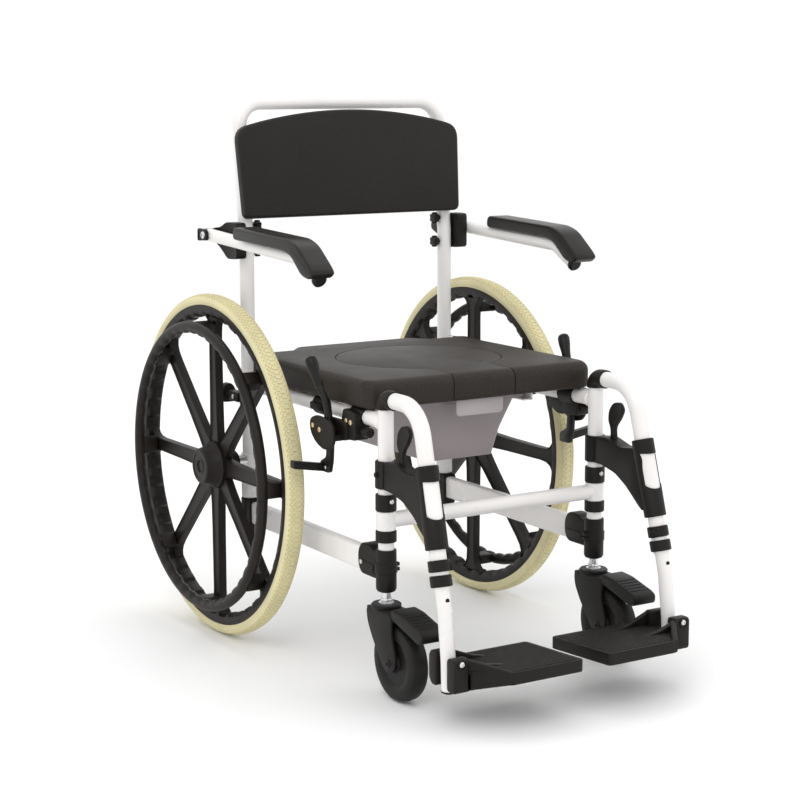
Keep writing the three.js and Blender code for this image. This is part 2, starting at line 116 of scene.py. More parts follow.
class ChairSizes(bpy.types.PropertyGroup):
    """Sizes of the chair; the CAD frame sets the rest."""

    tube: length("Frame tube radius", "Radius of the round frame tubes", 12.7)
    sleeve: length("Sleeve radius", "Radius of the sleeves round legs and posts", 15.6)
    hanger: length("Hanger tube radius", "Radius of the bent footrest hangers", 13)
    foot: length("Foot tube radius", "Radius of the telescopic footrest tubes", 11.5)
    arm: length("Arm tube radius", "Radius of the flip-up armrest tubes", 11)
    seat_edge: length("Seat edge", "Rounding of the upper edge of the seat", 16)
    seat_groove: length("Seat groove", "Gap round the lift-out seat insert", 1.5)
    back_edge: length("Back edge", "Rounding of the edges of the back panel", 6)
    arm_edge: length("Arm pad edge", "Rounding of the edges of the arm pads", 7)
    grip_wave: length("Hand rim wave", "Height of the finger waves inside the hand rim", 2.2)
    tread_depth: length("Tread depth", "Depth of the cross cuts in the tyres", 1.3)
    tread_count: IntProperty(name="Tread strips", default=420, min=60, max=600,
                             description="Strips round a tyre; every second one is cut")
    spokes: IntProperty(name="Spokes", description="Spokes of a rear wheel", default=8,
                        min=4, max=12)
    pedal_ribs: IntProperty(name="Pedal ribs", description="Ribs on a castor brake pedal",
                            default=5, min=0, max=8)


class ChairColours(bpy.types.PropertyGroup):
    """Base colours of the chair's materials."""

    white: colour("Frame", "Powder coat of the tubes", 0.79, 0.77, 0.755)
    nylon: colour("Fittings", "Black moulded fittings", 0.0075, 0.006, 0.005)
    rim: colour("Wheels", "Spoked rear wheels and hand rims", 0.011, 0.0085, 0.007)
    castor: colour("Castors", "Castor forks, wheels and pedals", 0.009, 0.008, 0.0075)
    lacquer: colour("Brakes", "Brake levers and shoes", 0.008, 0.0075, 0.007)
    seat: colour("Seat", "Skin of the seat foam", 0.019, 0.0145, 0.0115)
    back: colour("Back", "Skin of the back panel", 0.010, 0.008, 0.0068)
    arm_pad: colour("Arm pads", "Skin of the arm pads", 0.011, 0.009, 0.008)
    tyre: colour("Tyres", "Polyurethane of the tyres", 0.68, 0.62, 0.37)
    pan: colour("Pan", "Plastic of the pan", 0.275, 0.24, 0.245)
    pan_tab: colour("Pan tab", "Pull tab of the pan", 0.36, 0.33, 0.335)
    zinc: colour("Screws", "Zinc plated screws and pins", 0.75, 0.75, 0.76)
    brass: colour("Rivets", "Brass coloured rivets", 0.80, 0.64, 0.40)
    floor: colour("Floor", "Studio floor", 0.90, 0.90, 0.90)


class ChairStage(bpy.types.PropertyGroup):
    """Floor, light and camera."""

    width: FloatProperty(name="Floor width", description="Width of the square floor",
                         default=60, min=2, unit="LENGTH")
    surround: FloatProperty(name="Surround", description="Brightness of the white surround",
                            default=1.12, min=0)
    key: FloatProperty(name="Key light", description="Power of the light on the left front",
                       default=36, min=0, unit="POWER")
    fill: FloatProperty(name="Fill light", description="Power of the light on the right front",
                        default=12, min=0, unit="POWER")
    top: FloatProperty(name="Top light", description="Power of the light over the back",
                       default=20, min=0, unit="POWER")
    lens: FloatProperty(name="Lens", description="Focal length of the camera", default=85.34,
                        min=20, unit="CAMERA")


def sizes():
    """The panel's lengths in millimetres and its counts, by name."""
    group = bpy.context.scene.chair_sizes
    values = {key: getattr(group, key) for key in ChairSizes.__annotations__}
    return {key: value / MM if isinstance(value, float) else value
            for key, value in values.items()}


# ---- modelling steps ----------------------------------------------------------------------


def deselect():
    if bpy.context.object and bpy.context.object.mode != "OBJECT":
        bpy.ops.object.mode_set(mode="OBJECT")
    bpy.ops.object.select_all(action="DESELECT")


def edit(mode="VERT"):
    """Opens the active mesh with everything in it selected."""
    bpy.ops.object.mode_set(mode="EDIT")
    bpy.ops.mesh.select_mode(type=mode)
    bpy.ops.mesh.select_all(action="SELECT")


def closed():
    """Merges doubled points, turns every face outwards and leaves edit mode."""
    bpy.ops.mesh.select_all(action="SELECT")
    bpy.ops.mesh.remove_doubles(threshold=1e-5)
    bpy.ops.mesh.normals_make_consistent(inside=False)
    bpy.ops.object.mode_set(mode="OBJECT")
    return bpy.context.object


def line(points):
    """Extrudes one point along a row of points and stays in edit mode."""
    deselect()
    bpy.ops.mesh.primitive_plane_add(size=MM, location=points[0])
    bpy.ops.object.transform_apply(location=True)
    edit()
    bpy.ops.mesh.merge(type="CENTER")
    for a, b in zip(points, points[1:]):
        bpy.ops.mesh.extrude_vertices_move(TRANSFORM_OT_translate={"value": b - a})
    bpy.ops.mesh.select_all(action="SELECT")


def slab(outline, push):
    """A flat outline pushed out to a thickness."""
    line(outline)
    bpy.ops.mesh.edge_face_add()
    bpy.ops.mesh.extrude_region_move(TRANSFORM_OT_translate={"value": push})
    return closed()


def side_slab(outline, x0, x1):
    """An outline in the side view, (y, z), between two widths."""
    return slab([at(x0, y, z) for y, z in outline], X * (x1 - x0) * MM)


def level_slab(outline, z0, z1):
    """An outline in the top view, (x, y), between two heights."""
    return slab([at(x, y, z0) for x, y in outline], Z * (z1 - z0) * MM)


def block(x0, x1, y0, y1, z0, z1, edge=1.0):
    made = side_slab([(y0, z0), (y1, z0), (y1, z1), (y0, z1)], x0, x1)
    return soften(made, edge) if edge else made


def turned(profile, centre, axis, steps=48):
    """A profile of (along, radius) points turned about an axis through centre."""
    side = Z if abs(axis.z) < ALONG else X
    side = (side - axis * side.dot(axis)).normalized()
    line([centre + (axis * a + side * r) * MM for a, r in profile])
    bpy.ops.mesh.spin(steps=steps, angle=math.tau, center=centre, axis=axis)
    return closed()


def rod(a, b, radius, edge=0.8, steps=28):
    """A round bar between two frame points, its ends slightly broken."""
    axis = (b - a).normalized()
    length = (b - a).length / MM
    return turned([(0, 0), (0, radius - edge), (edge, radius), (length - edge, radius),
                   (length, radius - edge), (length, 0)], a, axis, steps)


def tube(corners, radius, bend, sides=28, steps=8):
    """A round tube through corner points, bent to one radius at each inner corner."""
    points = [at(*c) for c in corners]
    heading = (points[1] - points[0]).normalized()
    deselect()
    bpy.ops.mesh.primitive_circle_add(vertices=sides, radius=radius * MM, fill_type="NGON",
                                      location=points[0],
                                      rotation=heading.to_track_quat("Z", "Y").to_euler())
    bpy.ops.object.transform_apply(location=True, rotation=True, scale=True)
    edit("FACE")
    here = points[0]
    for corner, beyond in zip(points[1:], points[2:]):
        away = (beyond - corner).normalized()
        turn = heading.angle(away)
        start = corner - heading * bend * MM * math.tan(turn / 2)
        side = (away - heading * away.dot(heading)).normalized()
        bpy.ops.mesh.extrude_region_move(TRANSFORM_OT_translate={"value": start - here})
        bpy.ops.mesh.spin(steps=steps, angle=turn, center=start + side * bend * MM,
                          axis=side.cross(heading))
        here = corner + away * bend * MM * math.tan(turn / 2)
        heading = away
    bpy.ops.mesh.extrude_region_move(TRANSFORM_OT_translate={"value": points[-1] - here})
    return closed()


def active(obj):
    deselect()
    obj.select_set(True)
    bpy.context.view_layer.objects.active = obj
    return obj


def modified(obj, kind, **settings):
    """Adds one modifier with its settings and applies it."""
    active(obj)
    bpy.ops.object.modifier_add(type=kind)
    modifier = obj.modifiers[-1]
    for name, value in settings.items():
        setattr(modifier, name, value)
    bpy.ops.object.modifier_apply(modifier=modifier.name)
    return obj


def soften(obj, width, segments=2, angle=30):
    """Rounds every edge sharper than angle."""
    return modified(obj, "BEVEL", width=width * MM, segments=segments, limit_method="ANGLE",
                    angle_limit=math.radians(angle))


def carved(obj, *tools, operation="DIFFERENCE"):
    """Cuts tool solids out of a piece, or keeps only what they share, and removes them."""
    for tool in tools:
        modified(obj, "BOOLEAN", operation=operation, object=tool, solver="EXACT")
        bpy.data.objects.remove(tool)
    return obj


def joined(parts):
    deselect()
    for part in parts:
        part.select_set(True)
    bpy.context.view_layer.objects.active = parts[0]
    if len(parts) > 1:
        bpy.ops.object.join()
    return bpy.context.view_layer.objects.active


def copied(obj):
    active(obj)
    bpy.ops.object.duplicate()
    return bpy.context.object


def mirrored(obj):
    """A copy on the other side of the chair."""
    twin = copied(obj)
    edit()
    bpy.ops.transform.resize(value=(-1, 1, 1), center_override=(0, 0, 0))
    bpy.ops.mesh.flip_normals()
    bpy.ops.object.mode_set(mode="OBJECT")
    return twin


def circled(obj, count, centre):
    """The piece and its copies, evenly turned about the wheel axis through centre."""
    ring = [obj]
    for i in range(1, count):
        twin = copied(obj)
        edit()
        bpy.ops.transform.rotate(value=math.tau * i / count, orient_axis="X",
                                 center_override=centre)
        bpy.ops.object.mode_set(mode="OBJECT")
        ring.append(twin)
    return ring


def pick_faces(obj, test):
    """Opens the mesh with only the faces that pass test(centre, normal) selected."""
    active(obj)
    edit("FACE")
    bpy.ops.mesh.select_all(action="DESELECT")
    bpy.ops.object.mode_set(mode="OBJECT")
    for face in obj.data.polygons:
        face.select = test(face.center, face.normal)
    bpy.ops.object.mode_set(mode="EDIT")


def panelled(obj, test, inset, depth):
    """Sinks (or raises) a panel inside the chosen faces."""
    pick_faces(obj, test)
    bpy.ops.mesh.inset(thickness=inset * MM, depth=depth * MM)
    bpy.ops.object.mode_set(mode="OBJECT")
    return obj


def fitted(obj, name, finish, body, nodes=(), crease=CREASE):
    """Names a finished piece, gives it its finish and hangs it on its body.
    """
    active(obj)
    obj.name = name
    obj.data.name = name
    obj.data.materials.clear()
    obj.data.materials.append(finish)
    bpy.ops.object.shade_smooth_by_angle(angle=math.radians(crease))
    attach(obj, body)
    if nodes:
        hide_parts(*nodes)
    return obj


def single(name, parts, finish, body="chair", nodes=(), crease=CREASE):
    return fitted(joined(parts), name, finish, body, nodes, crease)


def pair(name, parts, finish, body="chair", nodes=(), crease=CREASE):
    """A piece on the left and its mirror image on the right; body may hold {side}."""
    left = joined(parts)
    twins = dict(zip(SIDES, (left, mirrored(left))))
    for side, obj in twins.items():
        fitted(obj, f"{name}_{side}", finish, body.format(side=side),
               [f"{node}_{side}" for node in nodes], crease)


def arc(cx, cy, radius, start, end, steps=6):
    """Points on an arc in the outline's own plane, from start to end in degrees."""
    turns = [math.radians(start + (end - start) * i / steps) for i in range(steps + 1)]
    return [(cx + radius * math.cos(t), cy + radius * math.sin(t)) for t in turns]


def eased(points, radius, steps=4):
    """An outline with every corner rounded; a point may carry its own radius."""
    out = []
    for i, p in enumerate(points):
        corner = Vector(p[:2])
        back = Vector(points[i - 1][:2]) - corner
        ahead = Vector(points[(i + 1) % len(points)][:2]) - corner
        reach = min(p[2] if len(p) > 2 else radius, back.length * 0.45, ahead.length * 0.45)
        a, b = back.normalized() * reach, ahead.normalized() * reach
        for s in range(steps + 1):
            t = s / steps
            out.append(tuple(corner + a * (1 - t) ** 2 + b * t ** 2))
    return out


# ---- finishes -----------------------------------------------------------------------------


class Value:
    """A number socket that can be used in ordinary sums; each sum adds a Math node."""

    def __init__(self, finish, socket):
        self.finish = finish
        self.socket = socket

    def sum(self, operation, first, second=None):
        inputs = {0: first} if second is None else {0: first, 1: second}
        return self.finish.node("ShaderNodeMath", {"operation": operation}, inputs).value(0)

    def __add__(self, other):
        return self.sum("ADD", self, other)

    def __mul__(self, other):
        return self.sum("MULTIPLY", self, other)

    def __sub__(self, other):
        return self.sum("SUBTRACT", self, other)

    def __rsub__(self, other):
        return self.sum("SUBTRACT", other, self)

    __radd__ = __add__
    __rmul__ = __mul__


class Node:
    def __init__(self, finish, node):
        self.finish = finish
        self.node = node

    def value(self, key):
        return Value(self.finish, self.node.outputs[key])


class Finish:
    """One material: a Principled shader and the nodes that feed it."""

    def __init__(self, name, **constants):
        self.material = bpy.data.materials.new(name)
        self.material.use_nodes = True
        self.tree = self.material.node_tree
        self.tree.nodes.clear()
        self.shader = self.node("ShaderNodeBsdfPrincipled", {}, constants)
        self.node("ShaderNodeOutputMaterial", {}, {"Surface": self.shader.value("BSDF")})
        self.place = self.node("ShaderNodeTexCoord").value("Object")

    def node(self, kind, settings=None, inputs=None):
        made = self.tree.nodes.new(kind)
        for name, value in (settings or {}).items():
            setattr(made, name, value)
        for key, value in (inputs or {}).items():
            self.feed(made.inputs[key], value)
        return Node(self, made)

    def feed(self, socket, value):
        if isinstance(value, Value):
            self.tree.links.new(value.socket, socket)
        else:
            socket.default_value = value

    def set(self, name, value):
        self.feed(self.shader.node.inputs[name], value)

    def noise(self, scale, detail=2.0, roughness=0.5, stretch=None):
        vector = self.place
        if stretch:
            vector = self.node("ShaderNodeMapping", {}, {"Vector": vector, "Scale": stretch})
            vector = vector.value("Vector")
        return self.node("ShaderNodeTexNoise", {}, {
            "Vector": vector, "Scale": scale, "Detail": detail, "Roughness": roughness,
        }).value("Fac")

    def cells(self, scale, feature="F1"):
        return self.node("ShaderNodeTexVoronoi", {"feature": feature}, {
            "Vector": self.place, "Scale": scale,
        }).value("Distance")

    def between(self, value, low, high):
        """0 below low, 1 above high and a straight slope in between."""
        return self.node("ShaderNodeMapRange", {}, {
            "Value": value, "From Min": low, "From Max": high,
        }).value("Result")

    def blend(self, factor, first, second):
        made = self.node("ShaderNodeMix", {"data_type": "RGBA"}, {0: factor})
        for index, colour in ((6, first), (7, second)):
            self.feed(made.node.inputs[index],
                      colour if isinstance(colour, Value) else (*colour, 1.0))
        return made.value(2)

    def bump(self, height, depth, strength=1.0):
        """Relief whose height runs from 0 to 1 over depth millimetres."""
        made = self.node("ShaderNodeBump", {}, {
            "Height": height, "Distance": depth * MM, "Strength": strength,
        })
        self.set("Normal", made.value("Normal"))


def toned(base, gain):
    return tuple(min(1.0, channel * gain) for channel in base)


def powder_coat(name, base):
    f = Finish(name, IOR=1.5)
    cloud, orange_peel = f.noise(9, 3), f.noise(900, 1)
    f.set("Base Color", f.blend(f.between(cloud, 0.35, 0.65), toned(base, 0.96), base))
    f.set("Roughness", 0.24 + 0.1 * cloud)
    f.bump(orange_peel, 0.05, 0.5)
    return f.material


def moulded(name, base, roughness, grain=1400):
    """Satin moulded plastic with a fine spark-eroded grain."""
    f = Finish(name, IOR=1.46)
    cloud, fine = f.noise(22, 4), f.noise(grain, 2)
    tone = f.between(cloud, 0.3, 0.7)
    f.set("Base Color", f.blend(tone, toned(base, 0.75), toned(base, 1.3)))
    f.set("Roughness", roughness + 0.14 * (cloud - 0.5) + 0.08 * fine)
    f.set("Specular IOR Level", 0.24)
    f.bump(fine, 0.06, 0.6)
    return f.material


def foam_skin(name, base, grain, depth, roughness):
    """Self-skinned foam: rounded pebbles, their creases darkened with painted shade and their
    crests lightened with painted highlight.
    """
    f = Finish(name, IOR=1.45)
    pebble, fine, cloud = f.cells(grain), f.noise(grain * 2.6, 3), f.noise(12, 3)
    crest = 1 - f.between(pebble, 0.15, 0.75)
    # tone mixes the pebble crests with random cloud: painted shade in the creases and painted
    # highlight on the crests, together with random tone.
    tone = f.between(crest * 0.6 + cloud * 0.6, 0.25, 0.85)
    f.set("Base Color", f.blend(tone, toned(base, 0.6), toned(base, 1.5)))
    f.set("Roughness", roughness + 0.18 * (cloud - 0.5))
    f.set("Specular IOR Level", 0.28)
    f.bump(crest * 0.8 + fine * 0.25, depth, 0.8)
    return f.material


def tyre_rubber(name, base):
    f = Finish(name, IOR=1.45)
    cloud, fine = f.noise(14, 4), f.noise(800, 2)
    f.set("Base Color", f.blend(f.between(cloud, 0.3, 0.7), toned(base, 0.88), base))
    f.set("Roughness", 0.5 + 0.16 * cloud)
    f.bump(fine, 0.08, 0.5)
    return f.material


def plated(name, base, roughness):
    """Bright metal with faint turning marks."""
    f = Finish(name, Metallic=1.0)
    cloud, fine = f.noise(60, 3), f.noise(700, 2, stretch=(1, 1, 6))
    f.set("Base Color", f.blend(cloud, toned(base, 0.86), base))
    f.set("Roughness", roughness + 0.12 * fine)
    f.bump(fine, 0.02, 0.4)
    return f.material


def pan_plastic(name, base):
    f = Finish(name, IOR=1.49)
    cloud, fine = f.noise(10, 3), f.noise(1100, 1)
    f.set("Base Color", f.blend(f.between(cloud, 0.3, 0.7), toned(base, 0.92), toned(base, 1.05)))
    f.set("Roughness", 0.33 + 0.12 * cloud)
    f.bump(fine, 0.04, 0.4)
    return f.material


def floor_paint(name, base):
    f = Finish(name, IOR=1.3)
    cloud = f.noise(3, 2)
    f.set("Base Color", f.blend(cloud, toned(base, 0.98), base))
    f.set("Roughness", 0.8 + 0.1 * cloud)
    return f.material


MAKERS = {
    "white": powder_coat,
    "nylon": lambda name, base: moulded(name, base, 0.42),
    "rim": lambda name, base: moulded(name, base, 0.42),
    "castor": lambda name, base: moulded(name, base, 0.45),
    "lacquer": lambda name, base: moulded(name, base, 0.3, 500),
    "seat": lambda name, base: foam_skin(name, base, 520, 0.35, 0.5),
    "back": lambda name, base: foam_skin(name, base, 900, 0.2, 0.52),
    "arm_pad": lambda name, base: foam_skin(name, base, 1200, 0.08, 0.36),
    "tyre": tyre_rubber,
    "zinc": lambda name, base: plated(name, base, 0.22),
    "brass": lambda name, base: plated(name, base, 0.28),
    "pan": pan_plastic,
    "pan_tab": pan_plastic,
    "floor": floor_paint,
}


def finish(key):
    """The material of that name, made from the panel's colour when it is first asked for."""
    name = f"chair_{key}"
    if name not in bpy.data.materials:
        MAKERS[key](name, tuple(getattr(bpy.context.scene.chair_colours, key)))
    return bpy.data.materials[name]


# ---- shared shapes --------------------------------------------------------------------------


def screw_head(x, y, z, axis, radius=4.5, height=3.0):
    """A pan-head screw with a socket, standing on a surface at x, y, z."""
    return turned([(0, 0), (0, radius), (height * 0.6, radius * 0.96), (height, radius * 0.62),
                   (height, radius * 0.45), (height * 0.35, radius * 0.4), (height * 0.35, 0)],
                  at(x, y, z), axis, 20)


def star_knob(place, axis, radius, length, lobes=6):
    """A hand knob with round lobes on a short neck."""
    here = at(*place)
    side = Z if abs(axis.z) < ALONG else X
    other = axis.cross(side)
    outline = []
    for i in range(lobes * 8):
        turn = math.tau * i / (lobes * 8)
        reach = radius * (1 + 0.13 * math.cos(turn * lobes)) * MM
        spot = (side * math.cos(turn) + other * math.sin(turn)) * reach
        outline.append(here + axis * length * 0.35 * MM + spot)
    head = soften(slab(outline, axis * length * 0.65 * MM), 1.6, 2)
    neck = rod(here - axis * 2 * MM, here + axis * length * 0.4 * MM, radius * 0.5, 0.5, 20)
    return joined([head, neck])


def waved(ring, centre, limit, waves, swell):
    """Scales every other stretch of a ring's inner edge, to leave waves along it."""
    active(ring)
    edit()
    bpy.ops.mesh.select_all(action="DESELECT")
    bpy.ops.object.mode_set(mode="OBJECT")
    for point in ring.data.vertices:
        arm = point.co - centre
        inside = math.hypot(arm.y, arm.z) / MM < limit
        point.select = inside and math.cos(math.atan2(arm.z, arm.y) * waves) > 0
    bpy.ops.object.mode_set(mode="EDIT")
    bpy.ops.transform.resize(value=(1, swell, swell), center_override=centre)
    bpy.ops.object.mode_set(mode="OBJECT")


def back_outline():
    """Front view of the arched back panel: width and height above its lower edge."""
    def arch(x):
        return 186 - 0.0006 * x * x

    crown = [(x, arch(x), 4) for x in range(176, -177, -22)]
    return eased([(-220, 0, 12), (220, 0, 12), (226, arch(226), 30), *crown,
                  (-226, arch(226), 30)], 10, 5)


def seat_outline():
    return eased([(-210, -435, 30), (210, -435, 30), (222, -415, 22), (222, -40, 12),
                  (150, -40, 8), (118, -2, 10), (-118, -2, 10), (-150, -40, 8),
                  (-222, -40, 12), (-222, -415, 22)], 12, 5)


def keyhole(grow):
    """Top view of the insert: a disc with a neck that runs out at the front."""
    disc = [((142 + grow) * x, -232 + (140 + grow) * y) for x, y in arc(0, 0, 1, -65, 245, 44)]
    neck, mouth = 55 + grow, 61 + grow
    return disc + [(-neck, -390), (-mouth, -450), (mouth, -450), (neck, -390)]


def seat_block(edge):
    """The whole seat before the insert is cut out of it, its upper and lower edges rounded."""
    body = level_slab(seat_outline(), SEAT_LOW, SEAT_TOP)
    pick_faces(body, lambda c, n: n.z > ALONG)
    bpy.ops.mesh.bevel(offset=edge * MM, segments=8, affect="EDGES")
    pick_faces(body, lambda c, n: n.z < -ALONG)
    bpy.ops.mesh.bevel(offset=6 * MM, segments=3, affect="EDGES")
    bpy.ops.object.mode_set(mode="OBJECT")
    return body


def plate_top(y):
    """Height of a footplate's tread at y."""
    return 89 - (y + 589) * PLATE_SLOPE


def grip_panel():
    """Raised squares over a footplate, clipped to its cut corners."""
    deselect()
    left, right, front, back = 31, 191, -734, -596
    middle = at((left + right) / 2, (front + back) / 2, plate_top((front + back) / 2) - 0.75)
    bpy.ops.mesh.primitive_grid_add(x_subdivisions=34, y_subdivisions=29, size=1,
                                    location=middle, rotation=(-math.atan(PLATE_SLOPE), 0, 0))
    grid = bpy.context.object
    grid.scale = ((right - left) * MM, (back - front) * MM, 1)
    bpy.ops.object.transform_apply(location=True, rotation=True, scale=True)
    edit("FACE")
    for corner, facing in ((at(187, -690, 95), (0.779, -0.627, 0)),
                           (at(168, -616, 90), (0.7, 0.7, 0))):
        bpy.ops.mesh.select_all(action="SELECT")
        bpy.ops.mesh.bisect(plane_co=corner, plane_no=facing, clear_outer=True)
    bpy.ops.mesh.select_all(action="SELECT")
    bpy.ops.mesh.inset(thickness=0.9 * MM, depth=0.9 * MM, use_individual=True)
    bpy.ops.object.mode_set(mode="OBJECT")
    return grid


# ---- the pieces -----------------------------------------------------------------------------


class ChairSideFrames(bpy.types.Operator):
    """Builds the white side tubes with their sleeves and the wheel spindles"""

    bl_idname = "chair.side_frames"
    bl_label = "Side frames"

    def execute(self, context):
        size = sizes()
        r = size["tube"]
        leg = tube([(TRACK, LEG_Y, 192), (TRACK, LEG_Y, 458)], r, 1)
        rail = tube([(TRACK, LEG_Y, RAIL_Z), (TRACK, POST_Y, RAIL_Z)], r, 1)
        post = tube([(TRACK, POST_Y, 152), (TRACK, POST_Y, 452)], r, 1)
        sleeve = rod(at(TRACK, POST_Y, 233.6), at(TRACK, POST_Y, 314), size["sleeve"], 1.5)
        bead = [(0, r - 0.6), (1.5, r + 1.7), (4, r + 1.9), (7, r - 0.6)]
        welds = [turned(bead, at(TRACK, y, RAIL_Z), Y * turn, 36)
                 for y, turn in ((LEG_Y + r - 3, 1), (POST_Y - r + 3, -1))]
        pair("side_tubes", [leg, rail, post, sleeve, *welds], finish("white"),
             nodes=["side_frame"])
        spindle = rod(at(TRACK, 0, WHEEL_R), at(299, 0, WHEEL_R), 8, 1)
        spacer = rod(at(TRACK + 12, 0, WHEEL_R), at(234, 0, WHEEL_R), 13, 1.5)
        pair("axle_spindle", [spindle, spacer], finish("zinc"))
        return {"FINISHED"}


class ChairLowerRails(bpy.types.Operator):
    """Builds the flat lower rails between the front legs and the rear posts"""

    bl_idname = "chair.lower_rails"
    bl_label = "Lower rails"

    def execute(self, context):
        outline = eased([(-9, -20), (9, -20), (9, 20), (-9, 20)], 6)
        rail = slab([at(TRACK + x, -397.5, 208 + z) for x, z in outline], Y * 381 * MM)
        pair("lower_rail_bar", [soften(rail, 1.2)], finish("white"),
             nodes=["lower_rail"], crease=50)
        return {"FINISHED"}


class ChairLegSockets(bpy.types.Operator):
    """Builds the plastic sockets at the feet of the front legs"""

    bl_idname = "chair.leg_sockets"
    bl_label = "Leg sockets"

    def execute(self, context):
        socket = turned([(166, 0), (166, 10), (168, 14.5), (172, 16.5), (197, 16.5),
                         (198, 17.8), (213, 17.8), (214, 16.5), (234, 16.5), (235, 15.6),
                         (235, 0)], at(TRACK, LEG_Y, 0), Z)
        lobe = side_slab(eased([(LEG_Y + 6, 186), (-405, 186), (-396, 200), (-396, 222),
                                (-406, 237), (-432, 237), (-442, 231), (LEG_Y + 6, 231)], 9),
                         TRACK - 13.5, TRACK + 13.5)
        rib = side_slab(eased([(-446, 194), (-408, 194), (-402, 204), (-402, 208),
                               (-446, 208)], 3), TRACK - 15, TRACK + 15)
        lips = [block(TRACK - 22, TRACK - 12, LEG_Y - 6, LEG_Y + 6, z, z + 6, 1.2)
                for z in (198.5, 206.5)]
        pair("leg_socket", [socket, soften(lobe, 2.5, 3), soften(rib, 1.2), *lips],
             finish("nylon"), nodes=["leg_bracket"])
        pair("leg_socket_screw", [screw_head(TRACK + 15, -410, 206, X, 4)], finish("zinc"))
        return {"FINISHED"}


class ChairPostSockets(bpy.types.Operator):
    """Builds the plastic sockets at the feet of the rear posts"""

    bl_idname = "chair.post_sockets"
    bl_label = "Post sockets"

    def execute(self, context):
        socket = turned([(148, 0), (148, 14), (150, 16.5), (232, 16.5), (233.2, 15.5),
                         (233.2, 0)], at(TRACK, POST_Y, 0), Z)
        lobe = side_slab(eased([(POST_Y, 168), (-14, 176), (-17.5, 184), (-17.5, 230),
                                (POST_Y, 233)], 4), TRACK - 13, TRACK + 13)
        pair("post_socket", [socket, soften(lobe, 2)], finish("nylon"),
             nodes=["post_bracket"])
        pair("post_socket_screw", [screw_head(TRACK + s * 16, POST_Y, 196, X * s) for s in (1, -1)],
             finish("zinc"))
        return {"FINISHED"}


class ChairLegCollars(bpy.types.Operator):
    """Builds the clamp collars above and below the crossbar sleeves"""

    bl_idname = "chair.leg_collars"
    bl_label = "Leg collars"

    def execute(self, context):
        bore = sizes()["tube"] - 1
        rings = [turned([(z0, bore), (z0, 15.9), (z0 + 1.2, 16.8), (z1 - 1.2, 16.8),
                         (z1, 15.9), (z1, bore), (z0, bore)], at(TRACK, LEG_Y, 0), Z)
                 for z0, z1 in ((297.3, 324), (247.5, 265.7))]
        pair("leg_collars", rings, finish("nylon"),
             nodes=["collar_upper", "collar_lower"])
        pair("leg_collar_screw", [screw_head(TRACK, LEG_Y - 16.6, 314, -Y, 3.8, 2.4)],
             finish("zinc"))
        return {"FINISHED"}


class ChairCrossbar(bpy.types.Operator):
    """Builds the front crossbar with a sleeve at each leg"""

    bl_idname = "chair.crossbar"
    bl_label = "Crossbar"

    def execute(self, context):
        size = sizes()
        bar = tube([(-TRACK, LEG_Y, BAR_Z), (TRACK, LEG_Y, BAR_Z)], size["tube"], 1)
        sleeves = [rod(at(s * TRACK, LEG_Y, 266), at(s * TRACK, LEG_Y, 297), size["sleeve"], 1.2)
                   for s in (1, -1)]
        single("crossbar_tube", [bar, *sleeves], finish("white"),
               nodes=["front_crossbar"])
        return {"FINISHED"}


class ChairBackHoop(bpy.types.Operator):
    """Builds the bent tube that carries the back panel"""

    bl_idname = "chair.back_hoop"
    bl_label = "Back hoop"

    def execute(self, context):
        foot, high = 452.4, 926.5
        top = POST_Y + (high - BACK_BEND_Z) * math.tan(BACK_LEAN)
        half = [(TRACK, POST_Y, foot), (TRACK, POST_Y, BACK_BEND_Z), (TRACK, top, high)]
        corners = [(-x, y, z) for x, y, z in half] + half[::-1]
        single("back_hoop", [tube(corners, sizes()["tube"], 42, steps=10)], finish("white"),
               nodes=["back_tube"])
        return {"FINISHED"}


class ChairBackPanel(bpy.types.Operator):
    """Builds the moulded back panel with its arched top and rounded edges"""

    bl_idname = "chair.back_panel"
    bl_label = "Back panel"

    def execute(self, context):
        size = sizes()
        low, thick = 727, 22
        back_y = POST_Y + (low - BACK_BEND_Z) * math.tan(BACK_LEAN)
        back_y -= (size["tube"] + 0.5) / math.cos(BACK_LEAN)
        up = Vector((0, math.sin(BACK_LEAN), math.cos(BACK_LEAN)))
        out = Vector((0, -math.cos(BACK_LEAN), math.sin(BACK_LEAN)))
        foot = at(0, back_y, low)
        panel = slab([foot + X * x * MM + up * z * MM for x, z in back_outline()],
                     out * thick * MM)
        panel = soften(panel, size["back_edge"], 5, 60)
        cushion = single("back_panel", [panel], finish("back"),
                         nodes=["backrest"], crease=60)
        return {"FINISHED"}


class ChairSeat(bpy.types.Operator):
    """Builds the horseshoe seat cushion and the lift-out insert that fills its opening"""

    bl_idname = "chair.seat"
    bl_label = "Seat and insert"

    def execute(self, context):
        size = sizes()
        whole = seat_block(size["seat_edge"])
        groove = size["seat_groove"] / 2
        cutter = level_slab(keyhole(0.4 - groove), SEAT_LOW - 10, SEAT_TOP + 10)
        insert = carved(copied(whole), cutter, operation="INTERSECT")
        ring = carved(whole, level_slab(keyhole(0.4 + groove), SEAT_LOW - 10, SEAT_TOP + 10))
        dimple = turned([(0, 0), (0, 2.2), (6, 2.6), (7, 3.6), (9, 3.6), (9, 0)],
                        at(58, -334, SEAT_TOP - 7), Z, 24)
        insert = carved(insert, dimple)
        seat = single("seat_cushion", [soften(ring, 2.2, 3, 40)], finish("seat"),
                      nodes=["seat"], crease=50)
        lid = single("seat_insert", [soften(insert, 2.2, 3, 40)], finish("seat"),
                     "seat_lid", ["seat_lid"], crease=50)
        return {"FINISHED"}


